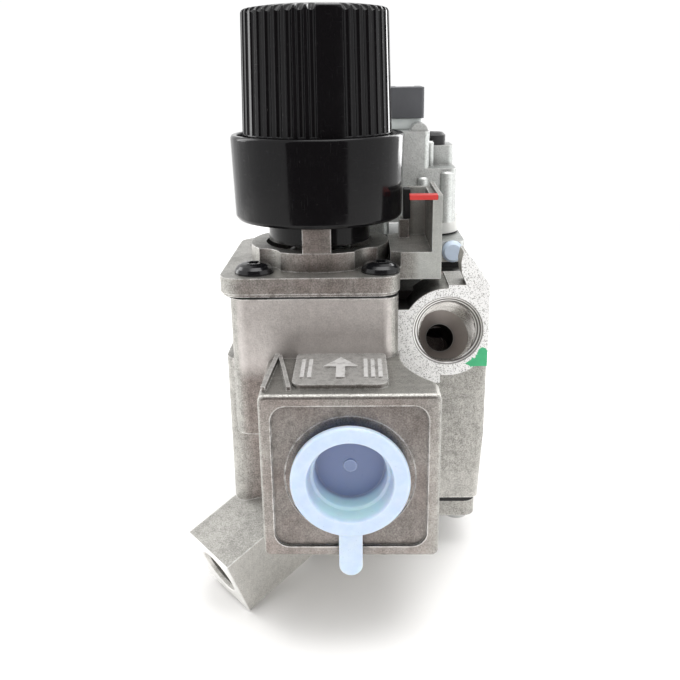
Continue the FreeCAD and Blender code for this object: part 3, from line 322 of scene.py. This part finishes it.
def cast_metal(name, dark=(0.25, 0.243, 0.226), light=(0.55, 0.538, 0.505), rough=0.40,
               shade_right=18.0, shade_high=0.6, behind=1.0):
    """As-cast aluminium: cloudy tone, fine grain, pits and drag marks from the die, edges paled by wear
    that also stand as painted highlights, and painted shade.

    behind is the painted shade of faces turned from the inlet's side, as a share of the others' tone."""
    metal = Finish(name, light, rough, 0.85)
    cloud = metal.noise(10.0, 4.0)
    mottle = metal.noise(1.6, 4.0, shift=3.0)
    grain = metal.noise(0.3, 3.0)
    drag = metal.noise(0.55, 3.0, stretch=(1.0, 1.0, 22.0))
    tone = metal.calc("MULTIPLY", cloud, 0.20)
    for part, share in ((mottle, 0.22), (grain, 0.50), (drag, 0.08)):
        tone = metal.calc("ADD", tone, metal.calc("MULTIPLY", part, share))
    colour = metal.mix(metal.span(tone, 0.40, 0.60), dark, light)
    # Painted warm shade on the faces to the inlet's side
    colour = front_painted_shade(metal, colour, shade_right, shade_high)
    pit = metal.specks(0.9, 0.16)
    # Painted shade on faces turned from the inlet's side, by the share behind
    colour = metal.mix(metal.facing(INLET_SIDE, 0.7, 0.3), colour, (behind,) * 3, "MULTIPLY")
    colour = metal.tint(pit, 0.45, colour, (0.10, 0.095, 0.09))
    # Painted shade in corners and holes, from ambient occlusion
    colour = metal.tint(metal.crevices(3.0), 0.7, colour, (0.06, 0.056, 0.052))
    # Edges paled by wear, patchy, which also stand as painted highlights
    worn_edge_highlight = metal.calc("MULTIPLY", metal.edges(0.55), metal.span(mottle, 0.28, 0.55))
    metal.colour = metal.mix(worn_edge_highlight, colour, (0.93, 0.92, 0.90))
    metal.mottle = mottle
    metal.bump(mottle, 0.10, 0.6)
    metal.bump(grain, 0.06, 0.8)
    metal.bump(drag, 0.04, 0.25)
    metal.feed("Base Color", metal.colour)
    metal.feed("Roughness", metal.span(tone, 0.38, 0.62, rough + 0.10, rough - 0.08))
    return metal


def blasted_faces(metal):
    """1 on the blasted port face, and part of the way on the slope beside it."""
    port_face = metal.all_of(metal.between(Y, 29.9, 30.1, 0.03), metal.facing(INLET_SIDE),
                             metal.between(X, 11.5, FAR))
    wall_slope = metal.all_of(metal.between(Y, 29.9, 37.2), metal.between(X, 26.0, 34.0),
                              metal.between(Z, 33.0, 45.0), metal.facing((0.78, 0.0, 0.62), 0.6, 0.8))
    return metal.any_of(port_face, metal.calc("MULTIPLY", wall_slope, 0.4))


def rubbed_pad(metal):
    """1 on the raised marks of the pad, and less on the pad itself, where hands have rubbed them."""
    on_pad = metal.all_of(metal.facing(Z, 0.5, 0.8), metal.between(Y, 1.0, 24.4),
                          metal.between(X, -19.0, 9.0))
    height = metal.along(Z)
    pad = metal.span(height, 20.3 * MM, 20.4 * MM, 0.0, 0.42)
    marks = metal.span(height, 20.7 * MM, 20.85 * MM, 0.0, 0.58)
    patchy = metal.span(metal.mottle, 0.30, 0.52, 0.5, 1.0)
    return metal.all_of(metal.calc("ADD", pad, marks), on_pad, patchy)


def tower_painted_light(metal, colour):
    """Painted light on the tower's face to the inlet's side, paler towards its foot."""
    height = metal.along(Z)
    tower = metal.all_of(metal.span(height, 14.0 * MM, 18.0 * MM), metal.facing(INLET_SIDE),
                         metal.between(Y, 22.0, FAR))
    tower_light = metal.calc("MULTIPLY", tower, metal.span(height, 19.0 * MM, 29.0 * MM, 0.62, 0.42))
    return metal.mix(tower_light, colour, (0.86, 0.81, 0.785))


def elbow_light_and_shade(metal, colour):
    """The elbow under the body: painted light where it turns down, and painted shade where it turns up."""
    elbow = metal.span(metal.along(Z), -19.0 * MM, -20.0 * MM)
    # Painted light on the faces that turn down
    low = metal.calc("MULTIPLY", elbow, metal.facing(Z, 0.05, -0.15))
    colour = metal.tint(low, 0.5, colour, (0.95, 0.93, 0.89))
    # Painted shade on the faces that turn up
    top = metal.calc("MULTIPLY", elbow, metal.facing(Z, 0.4, 0.7))
    return metal.tint(top, 0.3, colour, (0.22, 0.215, 0.20))


def pocket_painted_shade(metal, colour):
    """Painted shade in the dark pocket behind the port face."""
    pocket = metal.all_of(metal.between(X, 11.0, 28.5, 0.5), metal.between(Y, 30.6, 63.0, 0.5),
                          metal.between(Z, 20.0, 34.0, 0.5))
    # Painted shade: the pocket is coloured near black
    return metal.tint(pocket, 0.86, colour, (0.018, 0.018, 0.019))


def bored_port(metal, colour):
    """The pilot port: lathe lines on its rim, a plain wall, painted shade in its deep hole, and a bright
    lip.
    """
    line_spacing = 0.62 * MM
    away = metal.around(PILOT_CENTRE, Y)
    bored = metal.all_of(metal.span(away, BORE_EDGE * MM, 9.0 * MM), metal.between(Y, 30.05, FAR))
    depth = metal.span(metal.along(Y), 30.6 * MM, 36.0 * MM)
    turns = metal.calc("SINE", metal.calc("MULTIPLY", away, 2.0 * math.pi / line_spacing))
    lathe = metal.mix(metal.span(turns, -0.4, 0.6), (0.16, 0.15, 0.145), (0.90, 0.89, 0.87))
    colour = metal.mix(bored, colour, metal.mix(depth, lathe, (0.60, 0.545, 0.51)))
    port = MOUNTS["side_port"]
    inner = metal.around(port["pos_m"], port["axis"])
    hole = metal.all_of(bored, metal.span(inner, 3.9 * MM, 3.5 * MM),
                        metal.span(metal.along(Y), 33.0 * MM, 34.0 * MM))
    lip = metal.calc("MULTIPLY", hole, metal.span(inner, 3.42 * MM, 3.5 * MM))
    # Painted shade: the deep hole is coloured near black
    colour = metal.mix(hole, colour, (0.02, 0.018, 0.017))
    return metal.tint(lip, 0.9, colour, (0.85, 0.83, 0.80))


def cut_outlet(metal, colour):
    """The outlet's milled end face."""
    face = metal.all_of(metal.between(Y, 104.9, 105.1, 0.03), metal.facing(Y))
    lines = metal.span(metal.noise(0.2, 2.0, stretch=(30.0, 1.0, 1.0)), 0.35, 0.65)
    return metal.mix(face, colour, metal.mix(lines, (0.34, 0.33, 0.315), (0.52, 0.51, 0.49)))


def cut_elbow(metal, colour):
    """The bright end face of the elbow's angled port."""
    face_height = 6.0 * MM
    port = MOUNTS["angled_port"]
    outward = Vector(port["axis"])
    face = Vector(port["pos_m"]).dot(outward) + face_height
    end_face = metal.all_of(metal.span(metal.along(outward), face - 0.35 * MM, face - 0.15 * MM),
                            metal.span(metal.around(port["pos_m"], outward), 16.0 * MM, 15.0 * MM))
    return metal.tint(end_face, 0.8, colour, (0.96, 0.955, 0.94))


def die_marks(metal, colour):
    """Round ejector-pin marks and the parting line that the die leaves on the casting's sides."""
    pin_places = ((41.0, -19.0), (85.0, -19.0), (85.0, 8.0), (12.0, -15.0))
    sides = metal.any_of(metal.facing(X), metal.facing(LEFT))
    discs = [metal.span(metal.around((0.0, y * MM, z * MM), X), 3.1 * MM, 2.95 * MM) for y, z in pin_places]
    pins = metal.calc("MULTIPLY", metal.any_of(*discs), sides)
    line = metal.all_of(sides, metal.between(Z, -6.2, -5.9, 0.08), metal.between(Y, 31.5, 120.0))
    metal.bump(pins, -0.25, 0.8)
    metal.bump(line, 0.2, 0.8)
    colour = metal.tint(pins, 0.3, colour, (0.74, 0.73, 0.71))
    return metal.tint(line, 0.6, colour, (0.80, 0.79, 0.77))


def inlet_panel_shade(metal, colour):
    """Painted shade on the panel round the inlet."""
    panel = metal.all_of(metal.between(Y, 0.7, 0.9, 0.05), metal.facing(INLET_SIDE))
    return metal.tint(panel, 0.36, colour, (0.10, 0.09, 0.085))


def paint_dab(metal):
    """1 inside the inspector's dab of paint beside the pilot port."""
    wander = metal.span(metal.noise(1.6, 3.0, shift=5.0), 0.25, 0.75, -0.8 * MM, 0.8 * MM)
    away = metal.around(PILOT_CENTRE, Y)
    outside = metal.span(metal.calc("ADD", away, wander), BORE_EDGE * MM, 9.4 * MM)
    high = metal.calc("ADD", metal.along((0.35, 0.0, 1.0)), wander)
    below = metal.span(high, 30.9 * MM, 30.6 * MM)
    above = metal.span(high, 25.0 * MM, 25.3 * MM)
    return metal.all_of(outside, below, above, metal.between(X, 26.5, FAR), metal.between(Y, 29.0, 32.0))


def body_metal():
    """The main casting, with its machined, blasted and rubbed places, painted light and shade, and a dab of
    paint.
    """
    metal = cast_metal("cast_body")
    colour = tower_painted_light(metal, metal.colour)
    colour = elbow_light_and_shade(metal, colour)
    colour = pocket_painted_shade(metal, colour)
    colour = bored_port(metal, colour)
    colour = cut_outlet(metal, colour)
    blasted = blasted_faces(metal)
    speckle = metal.span(metal.noise(0.30, 2.0, shift=7.0), 0.36, 0.48)
    colour = metal.mix(blasted, colour, metal.mix(speckle, (0.36, 0.35, 0.34), (0.88, 0.875, 0.865)))
    rubbed = rubbed_pad(metal)
    colour = metal.mix(rubbed, colour, (0.90, 0.895, 0.88))
    colour = cut_elbow(metal, colour)
    colour = die_marks(metal, colour)
    colour = inlet_panel_shade(metal, colour)
    paint = paint_dab(metal)
    green = metal.mix(metal.mottle, (0.03, 0.36, 0.15), (0.07, 0.52, 0.24))
    metal.feed("Base Color", metal.mix(paint, colour, green))
    chalky = metal.any_of(paint, metal.calc("MULTIPLY", rubbed, 0.35), metal.calc("MULTIPLY", blasted, 0.9))
    metal.feed("Metallic", metal.span(chalky, 0.0, 1.0, 0.85, 0.0))
    return metal


def cover_metal():
    """The top cover: as cast, with painted light on the face of its bracket at the right."""
    metal = cast_metal("cast_cover", shade_right=12.0, shade_high=1.0)
    # Painted light on the bracket's faces to the inlet's side
    bracket = metal.all_of(metal.between(X, 16.0, FAR, 1.0), metal.facing(INLET_SIDE, 0.2, 0.7))
    metal.feed("Base Color", metal.tint(bracket, 0.55, metal.colour, (0.82, 0.86, 0.82)))
    return metal


def pale_metal():
    """The paler, less metallic castings of the regulator and the operator, with painted shade on their far
    sides.
    """
    metal = cast_metal("cast_pale", (0.60, 0.62, 0.60), (0.90, 0.93, 0.91), 0.38, -20.0, behind=0.52)
    metal.set("Metallic", 0.5)
    return metal


# ---------------------------------------------------------------- other finishes

def gloss_plastic(name, colour=(0.0045, 0.0042, 0.0048), rough=0.12, ior=1.3):
    """Polished black moulding: faint orange peel, fine scratches, a little dust and a painted highlight on
    its upper edges.
    """
    plastic = Finish(name, colour, rough, IOR=ior)
    peel = plastic.noise(1.8, 2.0)
    scratch = plastic.noise(0.16, 2.0, stretch=(1.0, 1.0, 30.0))
    scuff = plastic.noise(0.14, 2.0, stretch=(24.0, 24.0, 1.0), shift=2.0)
    marks = plastic.any_of(plastic.span(scratch, 0.66, 0.74), plastic.span(scuff, 0.67, 0.75))
    dust = plastic.calc("MULTIPLY", plastic.specks(1.5, 0.05), plastic.span(plastic.noise(6.0), 0.45, 0.65))
    tone = plastic.tint(marks, 0.25, colour, (0.03, 0.03, 0.032))
    tone = plastic.tint(dust, 0.6, tone, (0.25, 0.24, 0.23))
    # Painted highlight on the edges that face up
    worn_edge_highlight = plastic.calc("MULTIPLY", plastic.edges(0.35), plastic.facing(Z, -0.2, 0.6))
    tone = plastic.tint(worn_edge_highlight, 0.7, tone, (0.16, 0.16, 0.165))
    plastic.feed("Base Color", tone)
    drift = plastic.span(plastic.noise(4.0, 3.0), 0.3, 0.7, rough - 0.03, rough + 0.06)
    plastic.feed("Roughness", plastic.calc("ADD", drift, plastic.calc("MULTIPLY", marks, 0.2)))
    plastic.bump(peel, 0.02, 0.35)
    plastic.bump(marks, 0.004, 0.4)
    return plastic


def moulding(name, colour, rough, grain=0.35, depth=0.02):
    """A matt moulding: sparked texture, tone drift, paler edges and painted shade in its corners."""
    plastic = Finish(name, colour, rough)
    spark = plastic.noise(grain, 3.0)
    drift = plastic.noise(7.0, 3.0, shift=4.0)
    darker = tuple(c * 0.84 for c in colour)
    paler = tuple(min(1.0, c * 1.25 + 0.02) for c in colour)
    corner_shade = tuple(c * 0.3 for c in colour)
    tone = plastic.mix(plastic.span(drift, 0.3, 0.7), darker, colour)
    tone = plastic.tint(plastic.edges(0.3), 0.6, tone, paler)
    # Painted shade in corners, from ambient occlusion
    tone = plastic.tint(plastic.crevices(2.0), 0.45, tone, corner_shade)
    plastic.feed("Base Color", tone)
    plastic.feed("Roughness", plastic.span(spark, 0.3, 0.7, rough - 0.06, rough + 0.08))
    plastic.bump(spark, depth, 0.6)
    return plastic


def clear_blue():
    """The soft polyethylene cap: milky light blue, waxy, with faint flow lines and a cloudy bloom.

    It has painted shade inside, and painted light low down, where light comes through the wall."""
    colour = (0.60, 0.715, 0.97)
    plastic = Finish("cap_blue", colour, 0.33, IOR=1.5)
    plastic.set("Subsurface Weight", 0.55)
    plastic.set("Subsurface Radius", (0.5, 0.8, 1.2))
    plastic.set("Subsurface Scale", 0.0022)
    plastic.set("Transmission Weight", 0.12)
    flow = plastic.noise(2.2, 3.0, stretch=(1.0, 3.0, 1.0))
    bloom = plastic.noise(0.5, 3.0)
    tone = plastic.mix(plastic.span(flow, 0.3, 0.7), colour, (0.67, 0.775, 0.99))
    # Painted shade deeper inside the cap
    deep = plastic.span(plastic.along(Y), 3.6 * MM, 5.8 * MM, 0.0, 0.9)
    tone = plastic.mix(deep, tone, (0.165, 0.205, 0.36))
    # Painted light low on the wall
    low_wall_light = plastic.all_of(plastic.between(Y, -1.6, 5.2, 0.8), plastic.facing(Z, 0.1, 0.7),
                              plastic.span(plastic.along(Z), -3.0 * MM, -7.0 * MM))
    tone = plastic.tint(low_wall_light, 0.85, tone, (0.62, 0.92, 1.0))
    tone = plastic.tint(plastic.edges(0.5), 0.5, tone, (0.80, 0.87, 1.0))
    plastic.feed("Base Color", tone)
    plastic.feed("Roughness", plastic.span(bloom, 0.3, 0.7, 0.27, 0.42))
    plastic.bump(flow, 0.05, 0.3)
    plastic.bump(bloom, 0.01, 0.5)
    return plastic


def turned_metal(name, dark, light, rough, metallic=1.0):
    """Turned or drawn metal: fine tool lines across its axis, with tone drift and painted shade in its
    corners.
    """
    metal = Finish(name, light, rough, metallic)
    lines = metal.noise(0.12, 2.0, stretch=(40.0, 40.0, 1.0))
    drift = metal.noise(3.0, 4.0, shift=1.0)
    tone = metal.mix(metal.span(drift, 0.3, 0.7), dark, light)
    # Painted shade in corners, from ambient occlusion
    tone = metal.tint(metal.crevices(1.5), 0.7, tone, (0.08, 0.07, 0.06))
    tone = metal.tint(metal.edges(0.25), 0.6, tone, tuple(min(1.0, c * 1.4) for c in light))
    metal.feed("Base Color", tone)
    metal.feed("Roughness", metal.span(lines, 0.3, 0.7, rough - 0.08, rough + 0.10))
    metal.bump(lines, 0.02, 0.5)
    return metal


def wound_wire(name):
    """Enamelled copper turns laid side by side round an upright axis."""
    colour = (0.62, 0.26, 0.10)
    wire = Finish(name, colour, 0.28, 0.9)
    turns = wire.node("ShaderNodeTexWave", {"Vector": wire.place, "Scale": 1100.0, "Distortion": 0.6},
                      bands_direction="Z").outputs[1]
    wire.feed("Base Color", wire.mix(turns, tuple(c * 0.35 for c in colour), colour))
    wire.feed("Roughness", wire.span(wire.noise(1.0), 0.3, 0.7, 0.22, 0.4))
    wire.bump(turns, 0.08, 0.9)
    return wire


# ---------------------------------------------------------------- pieces

def soften(name, width):
    """Rounds a CAD node's sharp edges by width millimetres, with modifiers only."""
    piece = nodes[name]
    weld = piece.modifiers.new("weld", "WELD")
    weld.merge_threshold = 1e-6
    flat = piece.modifiers.new("flat", "DECIMATE")
    flat.decimate_type = "DISSOLVE"
    flat.angle_limit = math.radians(0.3)
    bevel = piece.modifiers.new("bevel", "BEVEL")
    bevel.width = width * MM
    bevel.segments = 2
    bevel.limit_method = "ANGLE"
    bevel.angle_limit = math.radians(28.0)
    bevel.use_clamp_overlap = True
    bevel.miter_outer = "MITER_ARC"
    normals = piece.modifiers.new("normals", "WEIGHTED_NORMAL")
    normals.keep_sharp = False


def add_piece(name, bm, finish, body, smooth=40.0):
    """A finished mesh piece that rides on a body; edges sharper than smooth degrees stay crisp."""
    bmesh.ops.recalc_face_normals(bm, faces=bm.faces)
    for face in bm.faces:
        face.smooth = True
    for edge in bm.edges:
        if len(edge.link_faces) == 2 and edge.calc_face_angle(0.0) > math.radians(smooth):
            edge.smooth = False
    mesh = bpy.data.meshes.new(name)
    bm.to_mesh(mesh)
    bm.free()
    piece = bpy.data.objects.new(name, mesh)
    bpy.context.collection.objects.link(piece)
    mesh.materials.append(finish.material)
    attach(piece, body)
    return piece


def thread_rows(bm, mouth, axis, radius, depth, pitch, length):
    """The vertices of a ridge's cross-section at each step along its helix."""
    steps = 56
    root = radius + 0.08
    start = 0.6 * pitch
    inward = Vector(axis).normalized()
    first = inward.orthogonal().normalized()
    second = inward.cross(first)
    count = int(length / pitch * steps)
    rows = []
    for index in range(count + 1):
        angle = 2 * math.pi * index / steps
        outward = math.cos(angle) * first + math.sin(angle) * second
        middle = pitch * index / steps + start
        fade = min(1.0, index / (steps * 0.5), (count - index) / (steps * 0.5))
        crest = radius - depth * fade
        profile = ((root, -0.49), (crest, -0.09), (crest, 0.09), (root, 0.49))
        points = [Vector(mouth) + (outward * out + inward * (middle + shift * pitch)) * MM
                  for out, shift in profile]
        rows.append([bm.verts.new(point) for point in points])
    return rows


def thread_ridge(name, mouth, axis, radius, depth, pitch, length, finish, face=None):
    """A female thread: a helical ridge standing in from the bore's wall, in millimetres.

    A face, given as a point and its outward direction, trims away what would stand outside it."""
    bm = bmesh.new()
    rows = thread_rows(bm, mouth, axis, radius, depth, pitch, length)
    kept = [face is None or (row[0].co - face[0]).dot(face[1]) < 0 for row in rows]
    for index, (low, high) in enumerate(zip(rows, rows[1:])):
        if not (kept[index] and kept[index + 1]):
            continue
        for one in range(3):
            bm.faces.new((low[one], low[one + 1], high[one + 1], high[one]))
        bm.faces.new((low[3], low[0], high[0], high[3]))
    for index, row in enumerate(rows):
        before = index > 0 and kept[index - 1]
        after = index < len(rows) - 1 and kept[index + 1]
        if kept[index] and before != after:
            bm.faces.new(row)
    bmesh.ops.delete(bm, geom=[vert for vert in bm.verts if not vert.link_faces], context="VERTS")
    return add_piece(name, bm, finish, "casting", smooth=50.0)


def add_threads(finish):
    """Threads in the open ports, and in the inlet behind its cap."""
    pipe_pitch, pipe_depth = 1.814, 0.85
    port_face = (Vector((0.0, 31.1 * MM, 0.0)), Vector(INLET_SIDE))
    # Each port's pitch, depth, start outward of its mount, and length, in millimetres, and its face
    ports = {"side_port": (0.907, 0.42, 6.9, 9.6, port_face),
             "outlet": (pipe_pitch, pipe_depth, 5.5, 11.0, None),
             "angled_port": (0.9, 0.4, 4.9, 9.0, None)}
    for name, (pitch, depth, start, length, face) in ports.items():
        mount = MOUNTS[name]
        outward = Vector(mount["axis"])
        mouth = Vector(mount["pos_m"]) + outward * start * MM
        thread_ridge(name + "_thread", mouth, -outward, mount["dims"]["r_mm"], depth, pitch,
                     length, finish, face)
    radius = MOUNTS["outlet"]["dims"]["r_mm"]
    behind_cap = Vector((0.0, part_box("inlet_cap")[1].y + 0.4 * MM, 0.0))
    thread_ridge("inlet_thread", behind_cap, Y, radius, pipe_depth, pipe_pitch, 8.4, finish)


def coil_spring(node, wire, turns, finish):
    """An open coil of round wire, its radius in millimetres, that fills its CAD node's box."""
    low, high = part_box(node)
    middle = (low + high) / 2
    radius = (high.x - low.x) / 2 - wire * MM
    rise = high.z - low.z - 2 * wire * MM
    steps, sides = 40, 10
    count = turns * steps
    bm = bmesh.new()
    rings = []
    for index in range(count + 1):
        angle = 2 * math.pi * index / steps
        outward = Vector((math.cos(angle), math.sin(angle), 0.0))
        height = low.z + wire * MM + rise * index / count
        centre = Vector((middle.x, middle.y, height)) + outward * radius
        ring = []
        for side in range(sides):
            around = 2 * math.pi * side / sides
            offset = outward * math.cos(around) + Vector(Z) * math.sin(around)
            ring.append(bm.verts.new(centre + offset * wire * MM))
        rings.append(ring)
    for first, second in zip(rings, rings[1:]):
        for side in range(sides):
            after = (side + 1) % sides
            bm.faces.new((first[side], first[after], second[after], second[side]))
    bm.faces.new(rings[0])
    bm.faces.new(rings[-1])
    return add_piece(node + "_coil", bm, finish, "casting")


def add_springs(finish):
    """Coil springs in place of the frame's rigid ones, for the nodes that the joints deform."""
    # Each spring's wire radius in millimetres, and its turns
    sizes = {"knob_spring": (0.6, 4), "safety_valve_spring": (0.4, 5), "main_valve_spring": (0.45, 5),
             "plunger_spring": (0.25, 2)}
    for joint in frame["record"]["behaviour"]["joints"]:
        for moved in joint.get("deforming_nodes", ()):
            node = moved["node"]
            spring = coil_spring(node, *sizes[node], finish)
            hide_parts(node)
            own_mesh(spring)


# ---------------------------------------------------------------- what wears what

def dress(finish, *names):
    """Puts a finish on CAD nodes."""
    for name in names:
        for slot in nodes[name].material_slots:
            slot.material = finish.material


def dress_castings():
    dress(body_metal(), "main_body")
    dress(cover_metal(), "top_cover")
    dress(cast_metal("cast_plain", shade_right=12.0, shade_high=1.0), "bottom_cover")
    dress(pale_metal(), "regulator_base", "operator_housing")


def dress_plastics():
    dress(gloss_plastic("gloss_black"), "knob_grip", "knob_skirt")
    dress(gloss_plastic("screw_black", (0.006, 0.006, 0.007), 0.18, 1.5), "cover_screws")
    dress(clear_blue(), "inlet_cap")
    dress(moulding("dull_black", (0.015, 0.015, 0.016), 0.5), "index_block", "regulator_cap",
          "regulator_screw")
    dress(moulding("red_marker", (0.62, 0.035, 0.03), 0.42), "red_marker_strip")
    dress(moulding("dark_grey_moulding", (0.115, 0.118, 0.128), 0.5), "terminal_block")
    dress(moulding("mint_plate", (0.95, 1.0, 0.985), 0.35), "insulator_plate")
    dress(moulding("pale_blue_plug", (0.62, 0.73, 0.88), 0.35), "vent_plug")
    dress(moulding("white_nylon", (0.80, 0.80, 0.77), 0.45), "spacer_ring", "coil_bobbin")
    dress(moulding("black_rubber", (0.02, 0.02, 0.02), 0.7, 0.25, 0.03), "main_diaphragm",
          "main_valve_rubber", "safety_valve_rubber", "regulator_diaphragm", "shaft_seal")
    dress(moulding("fibre_gasket", (0.035, 0.034, 0.033), 0.85, 0.15, 0.05), "cover_gasket",
          "regulator_gasket")


def dress_metals(steel):
    dress(steel, "knob_shaft", "shaft_clip", "outlet_test_nipple", "outlet_test_screw", "inlet_strainer")
    dress(steel, "knob_spring", "main_valve_spring", "plunger_spring", "regulator_spring",
          "safety_valve_spring")
    dress(steel, "main_valve_stem", "safety_valve_stem", "operator_plunger", "fixed_core", "magnet_can",
          "magnet_core", "regulator_plate")
    dress(steel, "bottom_screws", "operator_screws", "terminal_screws")
    dress(turned_metal("dull_zinc", (0.62, 0.62, 0.63), (0.88, 0.88, 0.89), 0.5, 0.25), "pilot_screw")
    dress(turned_metal("turned_brass", (0.42, 0.28, 0.10), (0.72, 0.52, 0.22), 0.28), "plug_cock",
          "safety_seat", "terminal_tabs")
    dress(wound_wire("enamelled_copper"), "operator_coil", "magnet_coils")


def soften_edges():
    """Rounds the edges of the nodes that are seen close up, by widths in millimetres."""
    widths = {"main_body": 0.5, "top_cover": 0.4, "operator_housing": 0.5, "regulator_base": 0.4,
              "bottom_cover": 0.4, "knob_skirt": 0.25, "knob_grip": 0.28, "inlet_cap": 0.3,
              "terminal_block": 0.25, "insulator_plate": 0.2, "index_block": 0.2, "red_marker_strip": 0.1}
    for name, width in widths.items():
        soften(name, width)


plated_steel = turned_metal("plated_steel", (0.42, 0.42, 0.42), (0.62, 0.62, 0.61), 0.30)
cut_aluminium = turned_metal("cut_aluminium", (0.40, 0.38, 0.36), (0.70, 0.68, 0.65), 0.26)
dress_castings()
dress_plastics()
dress_metals(plated_steel)
soften_edges()
add_camera()
add_lights()
add_floor()
add_flag()
add_threads(cut_aluminium)
add_springs(plated_steel)
